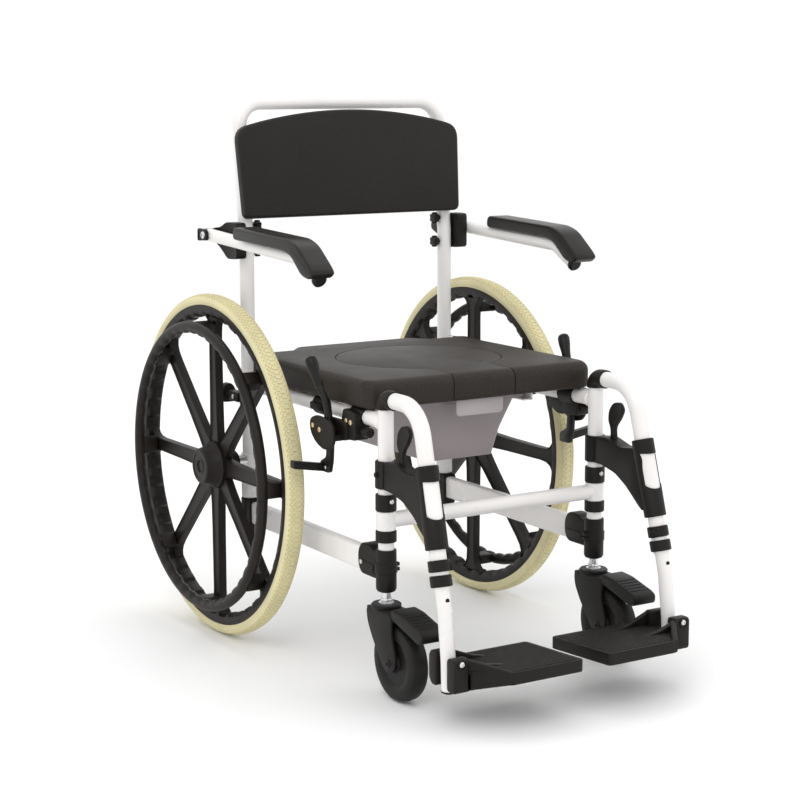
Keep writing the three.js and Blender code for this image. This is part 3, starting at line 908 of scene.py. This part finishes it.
class ChairPanRunners(bpy.types.Operator):
    """Builds the strips and angles under the seat that carry the pan"""

    bl_idname = "chair.pan_runners"
    bl_label = "Pan runners"

    def execute(self, context):
        parts = []
        for y in (-345, -60):
            parts.append(block(-191.8, 191.8, y - 14, y + 14, 447.9, 452.9))
            parts.append(block(-214, 214, y - 14, y + 14, 451.1, 452.9, 0.5))
        for s in (-1, 1):
            wall, ledge = s * 119.25, s * 111.5
            parts.append(block(wall - 1.75, wall + 1.75, -399, -46, 436, 450, 0.6))
            parts.append(block(ledge - 9.5, ledge + 9.5, -399, -46, 435.5, 438.5, 0.6))
        single("pan_runners", parts, finish("white"), nodes=["pan_cradle"])
        return {"FINISHED"}


class ChairPan(bpy.types.Operator):
    """Builds the deep pan hung by its flange, with a pull tab in front"""

    bl_idname = "chair.pan"
    bl_label = "Pan"

    def execute(self, context):
        half, front, back, low, high = 115, -388, -70, 440, 444.8
        middle = at(0, (front + back) / 2, low)
        outline = eased([(-half, front), (half, front), (half, back), (-half, back)], 28, 6)
        shell = level_slab(outline, low, high)
        taper = (((434, 14), 1), ((414, 0), 0.9), ((388, 0), 0.86), ((343, 0), 0.83))
        for facing, wall, floor_z in ((-1, 0, 343), (1, 3, 346)):
            pick_faces(shell, lambda c, n: n.z * facing > ALONG)
            height = low if facing < 0 else high
            for (z, inset), narrow in taper:
                z = max(z, floor_z)
                if inset:
                    bpy.ops.mesh.inset(thickness=(inset + wall) * MM)
                bpy.ops.mesh.extrude_region_move(
                    TRANSFORM_OT_translate={"value": Z * (z - height) * MM})
                bpy.ops.transform.resize(value=(narrow, 1 - (1 - narrow) * 0.18, 1),
                                         center_override=middle)
                height = z
            bpy.ops.object.mode_set(mode="OBJECT")
        shell = soften(shell, 1.8, 2, 25)
        brow = block(-half + 6, half - 6, front - 2, front + 3, 439, 452.4, 1.4)
        single("pan_bucket", [shell, brow], finish("pan"), "pan", ["pan"], crease=40)
        tab = level_slab(eased([(-46, -420), (46, -420), (46, -386), (-46, -386)], 8),
                         447.5, 452)
        lip = slab([at(x, -421, z) for x, z in eased([(-46, 452, 2), (-46, 425, 9), (46, 425, 9),
                                                      (46, 452, 2)], 9, 5)], Y * 5 * MM)
        single("pan_pull_tab", [soften(tab, 1), soften(lip, 1.5, 3)], finish("pan_tab"),
               "pan", crease=40)
        return {"FINISHED"}


class ChairTyres(bpy.types.Operator):
    """Builds the solid tyres with slanting cross cuts on the running band"""

    bl_idname = "chair.tyres"
    bl_label = "Tyres"

    def execute(self, context):
        size = sizes()
        low, hub, strips = WHEEL_R - 18.6, at(*HUB), size["tread_count"]
        half = [(0, 0), (5, 0.7), (9, 1.8), (11.5, 2.8), (13.6, 5), (16.2, 10), (16.3, 14)]
        profile = [(-14.5, low), *[(-a, WHEEL_R - d) for a, d in half[:0:-1]],
                   *[(a, WHEEL_R - d) for a, d in half], (14.5, low), (-14.5, low)]
        tyre = turned(profile, hub, X, strips)

        def cut_strip(centre, normal):
            radius = math.hypot(centre.y - hub.y, centre.z - hub.z) / MM
            turn = math.atan2(centre.z - hub.z, centre.y - hub.y) / math.tau * strips
            across = abs(centre.x - hub.x) / MM
            return radius > WHEEL_R - 4.2 and int(turn + strips + across * 0.2) % 2 == 0

        panelled(tyre, cut_strip, 0.35, -size["tread_depth"])
        pair("tyre", [tyre], finish("tyre"), "wheel_{side}", ["wheel_tyre"],
             crease=28)
        return {"FINISHED"}


class ChairRims(bpy.types.Operator):
    """Builds the spoked rear wheels with their hubs"""

    bl_idname = "chair.rims"
    bl_label = "Rear wheels"

    def execute(self, context):
        half = [(14.5, 281), (15, 277), (14, 268), (10.5, 262), (6, 260.5)]
        band = turned([(-a, r) for a, r in half] + half[::-1] + [(-half[0][0], half[0][1])],
                      at(*HUB), X, 288)
        waved(band, at(*HUB), 262.5, 44, 1.016)
        wide = [(30, 19), (44, 16), (70, 13.5), (120, 12), (226, 11), (244, 12.5), (254, 17),
                (262, 27)]
        outline = [(w, WHEEL_R + r) for r, w in wide]
        outline += [(-w, WHEEL_R + r) for r, w in reversed(wide)]
        spoke = side_slab(outline, 262, 278)
        panelled(spoke, lambda c, n: abs(n.x) > ALONG, 3.2, -0.01)
        panelled(spoke, lambda c, n: abs(n.x) > ALONG, 1.2, -3.4)
        spoke = soften(spoke, 1.2, 2, 30)
        hub = turned([(236, 0), (236, 20), (238, 22), (256, 22), (258, 38), (260, 41),
                      (280, 41), (284, 37), (300, 32), (304, 31), (306, 28.5), (306, 25),
                      (304.8, 23.5), (304.8, 15), (306, 13.5), (306, 11), (303.5, 10),
                      (303.5, 0)], at(0, 0, WHEEL_R), X, 64)
        spokes = circled(spoke, sizes()["spokes"], at(*HUB))
        pair("rim", [band, *spokes, hub], finish("rim"), "wheel_{side}",
             ["wheel_rim"], crease=32)
        return {"FINISHED"}


class ChairHandRims(bpy.types.Operator):
    """Builds the moulded hand rims with finger waves and lugs"""

    bl_idname = "chair.hand_rims"
    bl_label = "Hand rims"

    def execute(self, context):
        size = sizes()
        radius, wave = 245, size["grip_wave"]
        centre = at(310, 0, WHEEL_R)
        turns = [math.tau * i / 14 for i in range(15)]
        ring = turned([(9 * math.cos(t), radius + 9.4 * math.sin(t)) for t in turns], centre, X,
                      288)
        waved(ring, centre, radius - 4, 48, 1 - wave / radius)
        lug = side_slab(eased([(-16, WHEEL_R + 235), (16, WHEEL_R + 235), (12, WHEEL_R + 254),
                               (-12, WHEEL_R + 254)], 4), 277, 305)
        lugs = circled(soften(lug, 1.5), size["spokes"], centre)
        pair("hand_rim_ring", [ring, *lugs], finish("rim"), "wheel_{side}",
             ["hand_rim"], crease=50)
        return {"FINISHED"}


class ChairCastorForks(bpy.types.Operator):
    """Builds the castor forks with their stems, nuts and axle bolts"""

    bl_idname = "chair.castor_forks"
    bl_label = "Castor forks"

    def execute(self, context):
        arm = eased([(-437, 141), (-440, 118), (-456, 92), (-488, 52), (-505, 46), (-522, 54),
                     (-525, 74), (-513, 108), (-513, 141)], 9)
        arms = [soften(side_slab(arm, TRACK + x, TRACK + x + 5), 1.6, 2) for x in (-23, 18)]
        crown = side_slab(eased([(-436, 142), (-437.5, 131), (-446, 128.5), (-512, 128.5),
                                 (-516, 134), (-514, 142)], 3), TRACK - 21, TRACK + 21)
        cap = turned([(134, 0), (134, 20), (141, 24), (146.5, 24), (148, 22.5), (148, 0)],
                     at(TRACK, LEG_Y, 0), Z)
        x, y, z = CASTOR
        bolts = [screw_head(x + s * 22.8, y, z, X * s, 6.5, 2.5) for s in (1, -1)]
        pair("castor_fork_body", [*arms, soften(crown, 2), cap, *bolts], finish("castor"),
             "castor_{side}", ["castor_fork"])
        stem = turned([(146, 0), (146, 12.5), (149.5, 12.5), (150, 7.5), (166, 7.5), (166, 0)],
                      at(TRACK, LEG_Y, 0), Z, 32)
        nut = turned([(150, 0), (150, 10), (156, 10), (156, 0)], at(TRACK, LEG_Y, 0), Z, 6)
        pair("castor_stem", [stem, soften(nut, 0.6)], finish("zinc"), "castor_{side}")
        return {"FINISHED"}


class ChairCastorWheels(bpy.types.Operator):
    """Builds the castor wheels with their dished sides"""

    bl_idname = "chair.castor_wheels"
    bl_label = "Castor wheels"

    def execute(self, context):
        half = [(0, 6), (14, 6), (15.5, 8), (15.5, 15), (12.5, 17), (12, 36), (15, 40), (16, 44),
                (16, 53), (13.5, 59), (9, 61.6), (0, 62.5)]
        wheel = turned(half + [(-a, r) for a, r in reversed(half[:-1])], at(*CASTOR), X, 72)
        pair("castor_roller", [wheel], finish("castor"), "castor_wheel_{side}",
             ["castor_wheel"])
        return {"FINISHED"}


class ChairCastorPedals(bpy.types.Operator):
    """Builds the ribbed brake pedals over the castors"""

    bl_idname = "chair.castor_pedals"
    bl_label = "Castor pedals"

    def execute(self, context):
        outline = eased([(-510, 136), (-510, 151), (-540, 149), (-592, 136), (-602, 131),
                         (-601, 117), (-588, 114), (-560, 122), (-530, 130)], 5)
        pad = soften(side_slab(outline, TRACK - 22, TRACK + 22), 2.5, 3)
        ribs = []
        for i in range(sizes()["pedal_ribs"]):
            y = -548 - 9 * i
            top = 149 + (y + 540) * 0.25
            ribs.append(soften(side_slab([(y, top - 3), (y - 3, top - 4), (y - 3, top + 0.2),
                                          (y, top + 1.1)], TRACK - 18, TRACK + 18), 0.5))
        pair("castor_pedal_pad", [pad, *ribs], finish("castor"),
             "castor_pedal_{side}", ["castor_pedal"])
        studs = [screw_head(TRACK + x, -572, 115.5, -Z, 4, 3) for x in (-12, 12)]
        pair("castor_pedal_stud", studs, finish("brass"), "castor_pedal_{side}")
        return {"FINISHED"}


class ChairHangerBends(bpy.types.Operator):
    """Builds the bent hanger tubes and the heels that cap the front legs"""

    bl_idname = "chair.hanger_bends"
    bl_label = "Hanger tubes"

    def execute(self, context):
        path = [(TRACK, -478, HANGER_Z), lean(HANGER_Z), lean(209)]
        liner = rod(at(*lean(306)), at(*lean(376)), 15.4, 1)
        pair("hanger_bend", [tube(path, sizes()["hanger"], 60, steps=12), liner],
             finish("white"), "hanger_{side}", ["hanger_tube"])
        heel = tube([(TRACK, LEG_Y, 458.6), (TRACK, LEG_Y, HANGER_Z), (TRACK, -489, HANGER_Z)],
                    15.4, 14, steps=8)
        pair("hanger_heel", [soften(heel, 1.2, 2, 50)], finish("nylon"),
             "hanger_{side}", ["leg_cap"])
        return {"FINISHED"}


class ChairHangerCatches(bpy.types.Operator):
    """Builds the brackets that swing round the legs, with the release levers"""

    bl_idname = "chair.hanger_catches"
    bl_label = "Hanger catches"

    def execute(self, context):
        web = eased([(-462, 376), (-505, 381), (-545, 370), (-572, 374), (-590, 374),
                     (-600, 362), (-608, 300), (-606, 274), (-594, 282), (-562, 308),
                     (-532, 325), (-496, 333), (-462, 334)], 8)
        plate = side_slab(web, TRACK - 13, TRACK + 13)
        socket = turned([(333.5, 0), (333.5, 16), (335, 17.2), (376, 17.2), (377.5, 16),
                         (377.5, 0)], at(TRACK, LEG_Y, 0), Z)
        cheek = block(TRACK - 15.5, TRACK + 15.5, LEG_Y - 15, LEG_Y + 9, 334, 377, 4)
        sleeve = rod(at(*lean(267)), at(*lean(389)), 18, 1.4, 44)
        plate = joined([soften(plate, 1.4), socket, cheek])
        low, high, wide = 314, 369, 21
        window = eased([(-wide, low, 22), (wide, low, 22), (wide, high, 9), (-wide, high, 9)],
                       9, 8)
        cutter = slab([at(lean(z)[0] + x, lean(z)[1] - 6, z) for x, z in window], -Y * 60 * MM)
        sleeve = soften(carved(sleeve, cutter), 0.7, 2, 50)
        pair("hanger_catch", [plate, sleeve], finish("nylon"), "hanger_{side}",
             ["hanger_bracket"])
        lever = side_slab(eased([(-507, 371), (-519, 371), (-516, 398), (-530, 414),
                                 (-538, 430), (-530, 441), (-514, 440), (-502, 426),
                                 (-500, 408), (-507, 396)], 7), TRACK - 4, TRACK + 4)
        panelled(lever, lambda c, n: abs(n.x) > ALONG, 3, -1.2)
        pair("release_spoon", [soften(lever, 1, 2)], finish("nylon"),
             "release_{side}", ["release_lever"])
        stop = rod(at(TRACK + 14, LEG_Y, 356), at(TRACK + 20.5, LEG_Y, 356), 4.5, 1.2)
        pair("hanger_stop", [stop], finish("nylon"), "hanger_{side}")
        return {"FINISHED"}


class ChairHangerRings(bpy.types.Operator):
    """Builds the clamp rings on the hangers and the button that frees the foot tube"""

    bl_idname = "chair.hanger_rings"
    bl_label = "Hanger rings"

    def execute(self, context):
        parts = [rod(at(*lean(low)), at(*lean(high)), 17, 1.4, 36)
                 for low, high in ((235, 252), (213, 230))]
        middle = at(*lean(243))
        inner = Vector((-0.9, -0.43, 0))
        parts.append(rod(middle + inner * 10 * MM, middle + inner * 21 * MM, 7, 1.5))
        pair("hanger_clamp_rings", parts, finish("nylon"), "hanger_{side}",
             ["ring_upper", "ring_lower"])
        return {"FINISHED"}


class ChairFootTubes(bpy.types.Operator):
    """Builds the telescopic footrest tubes with their end plugs and black discs of painted shade
    for the setting holes
    """

    bl_idname = "chair.foot_tubes"
    bl_label = "Foot tubes"

    def execute(self, context):
        r = sizes()["foot"]
        path = [lean(302), lean(180), (FOOT_X, -652, 105), (FOOT_X, -654, 57)]
        pair("foot_tube_bend", [tube(path, r, 110, steps=8)], finish("white"),
             "foot_tube_{side}", ["foot_tube"])
        plug = turned([(54, 0), (54, 9), (55.5, 11.6), (58, 12.2), (58, 0)],
                      at(FOOT_X, -654, 0), Z)
        x, y, z = lean(195.5)
        # A black disc just proud of the tube stands for a setting hole: painted shade, not an
        # opening.
        hole_shade_disc = rod(at(x, y - 9, z), at(x, y - r - 0.9, z), 3.4, 0.2, 16)
        pair("foot_tube_plug", [plug, hole_shade_disc], finish("nylon"), "foot_tube_{side}")
        return {"FINISHED"}


class ChairFootplates(bpy.types.Operator):
    """Builds the flip-up footplates with their forks, gussets and gripping treads"""

    bl_idname = "chair.footplates"
    bl_label = "Footplates"

    def execute(self, context):
        outline = eased([(24, -589), (176, -589), (178, -616), (196, -618), (199, -690),
                         (158, -741), (24, -741)], 8)
        plate = slab([at(x, y, plate_top(y)) for x, y in outline], -Z * 20 * MM)
        panelled(plate, lambda c, n: n.z > ALONG, 5, -0.8)
        plate = soften(plate, 2, 3)
        ear_top, lug_top = 116, 114
        flange = side_slab(eased([(-667, 62), (-667, lug_top), (-690, lug_top), (-690, 62)], 7),
                           197, 225)
        ear = side_slab(eased([(-636, 62), (-624, 62), (-616, 72), (-616, 108),
                               (-622, ear_top), (-636, ear_top)], 4), 190, 224)
        corner = Vector((158, -741)) - Vector((201, -684))
        inward = Vector((corner.y, -corner.x, 0)).normalized()
        skirt = slab([at(201 + corner.x * t, -684 + corner.y * t, z)
                      for t, z in ((0, 63), (0, lug_top - 2), (0.12, lug_top - 4), (1, 99),
                                   (1, 80))], inward * 9 * MM)
        webs = [slab([at(x, y, z) for x, z in shape], Y * 9 * MM)
                for y, shape in ((-690, ((150, 75), (128, 94), (165, 100), (202, 113), (204, 64))),
                                 (-627, ((120, 74), (112, 88), (150, 96), (196, 114), (196, 73))))]
        arms = [block(176, 203, -690, -667, 64, 92, 2), block(174, 195, -636, -616, 72, 90, 2)]
        parts = [plate, soften(flange, 2.4, 3), soften(ear, 2, 3), soften(skirt, 1.6, 3)]
        parts += [soften(web, 1.6, 3) for web in webs] + arms
        pair("footplate_body", parts, finish("nylon"), "footplate_{side}",
             ["footplate"])
        pair("footplate_grip", [grip_panel()], finish("nylon"),
             "footplate_{side}", crease=20)
        rim = turned([(0, 5.6), (0, 9), (2.2, 8.4), (2.4, 6), (0, 5.6)],
                     at(FOOT_X, -689.4, FLIP_Z), -Y, 28)
        pair("footplate_boss", [rim], finish("nylon"), "footplate_{side}")
        pair("footplate_bolt", [screw_head(FOOT_X, -689, FLIP_Z, -Y, 4.8, 3)], finish("zinc"),
             "footplate_{side}")
        return {"FINISHED"}


class ChairArmrests(bpy.types.Operator):
    """Builds the flip-up armrests: bent tube, end plug, foam pad and its screws"""

    bl_idname = "chair.armrests"
    bl_label = "Armrests"

    def execute(self, context):
        size = sizes()
        path = [(ARM_X, 54, 698), (ARM_X, -282, 681), (ARM_X, -338, 651)]
        pair("arm_bar", [tube(path, size["arm"], 40, steps=8)], finish("white"),
             "arm_{side}", ["arm_tube"])
        end = Vector(path[2])
        tip = (end - Vector(path[1])).normalized()
        plug = rod(at(*(end - tip * 7)), at(*(end + tip * 4)), 12.2, 3)
        pair("arm_bar_plug", [plug], finish("nylon"), "arm_{side}")
        side = eased([(-87, 700), (-262, 694), (-290, 688), (-326, 658), (-350, 654),
                      (-365, 664, 14), (-352, 676, 20), (-312, 706, 20), (-285, 714, 30),
                      (-90, 721.5, 10)], 12, 5)
        pad = soften(side_slab(side, 236, 279), size["arm_edge"], 4, 50)
        pair("arm_cushion", [pad], finish("arm_pad"), "arm_{side}", ["arm_pad"],
             crease=60)
        heads = [screw_head(ARM_X, y, 676 + 0.05 * (y + 250), -Z, 4, 3.4) for y in (-140, -225)]
        pair("arm_screw", heads, finish("zinc"), "arm_{side}")
        return {"FINISHED"}


class ChairArmBrackets(bpy.types.Operator):
    """Builds the brackets on the rear posts that the armrests turn on"""

    bl_idname = "chair.arm_brackets"
    bl_label = "Armrest brackets"

    def execute(self, context):
        cheek = side_slab(eased([(-22, 660), (-22, 722), (16, 722), (40, 712), (68, 709),
                                 (72, 690), (40, 676), (12, 658)], 7), 218.2, 239)
        panelled(cheek, lambda c, n: n.x > 0.9, 4, -2)
        outer = side_slab(eased([(34, 690), (36, 708), (68, 710), (70, 688)], 4), 262.8, 268)
        bridge = block(230, 268, 61, 70, 688, 708, 1.5)
        pair("arm_bracket_body", [soften(cheek, 1.6), soften(outer, 1), bridge],
             finish("nylon"), nodes=["arm_bracket"])
        knobs = [star_knob((TRACK - 11, POST_Y, z), -X, 9.5, 15) for z in (714, 671)]
        pair("arm_bracket_knob", knobs, finish("nylon"))
        pair("arm_pivot_bolt", [screw_head(267.8, 45, 699, X, 6.5, 4)], finish("zinc"))
        return {"FINISHED"}


class ChairRailClamps(bpy.types.Operator):
    """Builds the half-round clamps on the seat rails and the star knobs behind the posts"""

    bl_idname = "chair.rail_clamps"
    bl_label = "Rail clamps"

    def execute(self, context):
        grip = rod(at(TRACK, -287, RAIL_Z), at(TRACK, -253, RAIL_Z), 16.4, 1.5)
        ear = block(TRACK + 8, TRACK + 20, -287, -253, 431, 444, 2.5)
        band = turned([(400, 0), (400, 15.4), (401.5, 16.6), (422.5, 16.6), (424, 15.4),
                       (424, 0)], at(TRACK, POST_Y, 0), Z)
        arm = block(TRACK, TRACK + 18, 14, 52, 403, 421, 3)
        knob = star_knob((TRACK + 9, 54, 412), Y, 17, 24, 3)
        pair("rail_clamp", [grip, ear, band, arm, knob], finish("nylon"))
        heads = [screw_head(TRACK + 18, 30, 412, X, 4)]
        pair("rail_clamp_screw", heads, finish("zinc"))
        return {"FINISHED"}


class ChairBrakes(bpy.types.Operator):
    """Builds the parking brakes: rail mount, hand lever and the peg that meets the tyre"""

    bl_idname = "chair.brakes"
    bl_label = "Parking brakes"

    def execute(self, context):
        grip = rod(at(TRACK, -411, RAIL_Z), at(TRACK, -373, RAIL_Z), 16.6, 1.5)
        cheek = side_slab(eased([(-411, 402), (-411, 446), (-373, 450), (-366, 425),
                                 (-372, 400)], 6), TRACK, 231)
        inner = side_slab(eased([(-390, 400), (-390, 430), (-330, 430), (-302, 424), (-302, 404),
                                 (-330, 392)], 7), 225, 234)
        cover = side_slab(eased([(-378, 396), (-376, 424), (-350, 432), (-318, 433), (-299, 424),
                                 (-301, 404), (-318, 388), (-345, 379), (-368, 384)], 14, 5),
                          246, 251)
        bosses = [rod(at(233, y, z), at(247, y, z), 5, 0.5, 16)
                  for y, z in ((-309, 414), (-372, 402))]
        bush = rod(at(216, -434, 417), at(216, -408, 417), 8, 1.2)
        parts = [grip, soften(cheek, 2.2, 3), soften(inner, 1), soften(cover, 1.4, 3), *bosses]
        pair("brake_mount", [*parts, bush], finish("nylon"),
             nodes=["brake_clamp"])
        rivets = [screw_head(250.6, y, z, X, 4.4, 2.6) for y, z in ((-311, 415), (-333, 411))]
        screws = [screw_head(230.6, y, z, X, 4.4, 2.6) for y, z in ((-384, 431), (-398, 430))]
        pair("brake_rivets", [*rivets, *screws], finish("brass"))
        link = side_slab(eased([(-353, 420), (-344, 416), (-336, 422), (-327, 458), (-333, 466),
                                (-346, 456)], 4), 236.3, 243)
        shaft = tube([(240, -346, 432), (243, -340, 458), (253, -309, 512)], 5.4, 30, 16)
        grip_axis = Vector((0.10, 0.41, 0.9)).normalized()
        knob = turned([(0, 0), (0, 6.2), (3, 7), (22, 8), (36, 10), (46, 10.4), (51, 8.6),
                       (53.5, 5), (54, 0)], at(246.5, -327, 478), grip_axis, 28)
        pivot = rod(at(236.3, -345, 425), at(244.6, -345, 425), 7, 1)
        pair("brake_handle", [soften(link, 0.8), shaft, knob, pivot], finish("lacquer"),
             "brake_lever_{side}", ["brake_lever"])
        arm = side_slab(eased([(-358, 410), (-342, 410), (-338, 366), (-319, 357), (-319, 341),
                               (-348, 341), (-354, 362)], 5), 236.3, 243)
        peg = slab([at(x, y, z + (x - 240) * 0.172) for x, y, z in
                    ((239, -333, 341), (239, -319, 341), (239, -319, 354), (239, -333, 354))],
                   (X + Z * 0.172) * 59 * MM)
        pair("brake_peg", [soften(arm, 0.8), soften(peg, 2, 3)], finish("lacquer"),
             "brake_shoe_{side}", ["brake_shoe"])
        pins = [screw_head(242.6, -354, 404, X, 3.4, 2.2), screw_head(242.6, -337, 349, X, 3, 2)]
        pair("brake_pins", pins, finish("zinc"), "brake_shoe_{side}")
        return {"FINISHED"}


class ChairStudio(bpy.types.Operator):
    """Lays the pale floor, sets the soft lights and aims the camera"""

    bl_idname = "chair.studio"
    bl_label = "Stage"

    def execute(self, context):
        stage = context.scene.chair_stage
        deselect()
        bpy.ops.mesh.primitive_plane_add(size=stage.width, location=(0, 0, -0.0005))
        floor = bpy.context.object
        floor.name = "studio_floor"
        bpy.ops.object.transform_apply(location=True)
        floor.data.materials.append(finish("floor"))
        world = bpy.data.worlds.new("studio_surround")
        context.scene.world = world
        world.use_nodes = True
        surround = world.node_tree.nodes["Background"].inputs
        surround["Color"].default_value = (1, 1, 1, 1)
        surround["Strength"].default_value = stage.surround
        aim = Vector((0, 0, 0.45))
        for name, place, power, width in (("key_light", (-2.6, -2.4, 3.4), stage.key, 2.2),
                                          ("fill_light", (2.8, -2.2, 2.4), stage.fill, 2.6),
                                          ("top_light", (0.4, 1.2, 3.6), stage.top, 3.0)):
            bpy.ops.object.light_add(type="AREA", location=place)
            lamp = bpy.context.object
            lamp.name = name
            lamp.data.energy = power
            lamp.data.size = width
            lamp.rotation_euler = (aim - Vector(place)).to_track_quat("-Z", "Y").to_euler()
        context.scene.view_settings.view_transform = "Standard"
        self.aim_camera(context, stage.lens)
        return {"FINISHED"}

    def aim_camera(self, context, lens):
        """Three-quarter view from the front right, slightly above the seat."""
        turn, rise, roll = (math.radians(a) for a in (-31.607, 9.4095, -0.1524))
        back = Vector((math.sin(turn) * math.cos(rise), -math.cos(turn) * math.cos(rise),
                       math.sin(rise)))
        right = Vector((math.cos(turn), math.sin(turn), 0))
        up = back.cross(right)
        axes = (right * math.cos(roll) + up * math.sin(roll),
                up * math.cos(roll) - right * math.sin(roll), back)
        camera = bpy.data.objects.new("camera", bpy.data.cameras.new("camera"))
        context.scene.collection.objects.link(camera)
        camera.data.sensor_width = 36
        camera.data.lens = lens
        camera.location = (-1.7095, AXLE.y - 2.9496, 0.9546)
        camera.rotation_mode = "QUATERNION"
        camera.rotation_quaternion = Matrix(axes).transposed().to_quaternion()
        context.scene.camera = camera


# ---- the add-on -----------------------------------------------------------------------------

PIECES = (
    ChairSideFrames, ChairLowerRails, ChairLegSockets, ChairPostSockets, ChairLegCollars,
    ChairCrossbar, ChairBackHoop, ChairBackPanel, ChairSeat, ChairPanRunners, ChairPan,
    ChairTyres, ChairRims, ChairHandRims, ChairCastorForks, ChairCastorWheels,
    ChairCastorPedals, ChairHangerBends, ChairHangerCatches, ChairHangerRings, ChairFootTubes,
    ChairFootplates, ChairArmrests, ChairArmBrackets, ChairRailClamps, ChairBrakes, ChairStudio,
)
SETTINGS = {"chair_sizes": ChairSizes, "chair_colours": ChairColours, "chair_stage": ChairStage}


class ChairPanel(bpy.types.Panel):
    """Lists the chair's settings and the operators that build it"""

    bl_idname = "VIEW3D_PT_commode_chair"
    bl_label = "Commode chair"
    bl_space_type = "VIEW_3D"
    bl_region_type = "UI"
    bl_category = "Commode chair"

    def draw(self, context):
        for key, settings in SETTINGS.items():
            box = self.layout.box()
            for prop in settings.__annotations__:
                box.prop(getattr(context.scene, key), prop)
        column = self.layout.column(align=True)
        for piece in PIECES:
            column.operator(piece.bl_idname)


def register():
    for kind in (*SETTINGS.values(), *PIECES, ChairPanel):
        bpy.utils.register_class(kind)
    for key, settings in SETTINGS.items():
        setattr(bpy.types.Scene, key, PointerProperty(type=settings))


def unregister():
    for key in SETTINGS:
        delattr(bpy.types.Scene, key)
    for kind in reversed((*SETTINGS.values(), *PIECES, ChairPanel)):
        bpy.utils.unregister_class(kind)


def main():
    register()
    for piece in PIECES:
        group, name = piece.bl_idname.split(".")
        getattr(getattr(bpy.ops, group), name)()


if __name__ == "__main__":
    main()
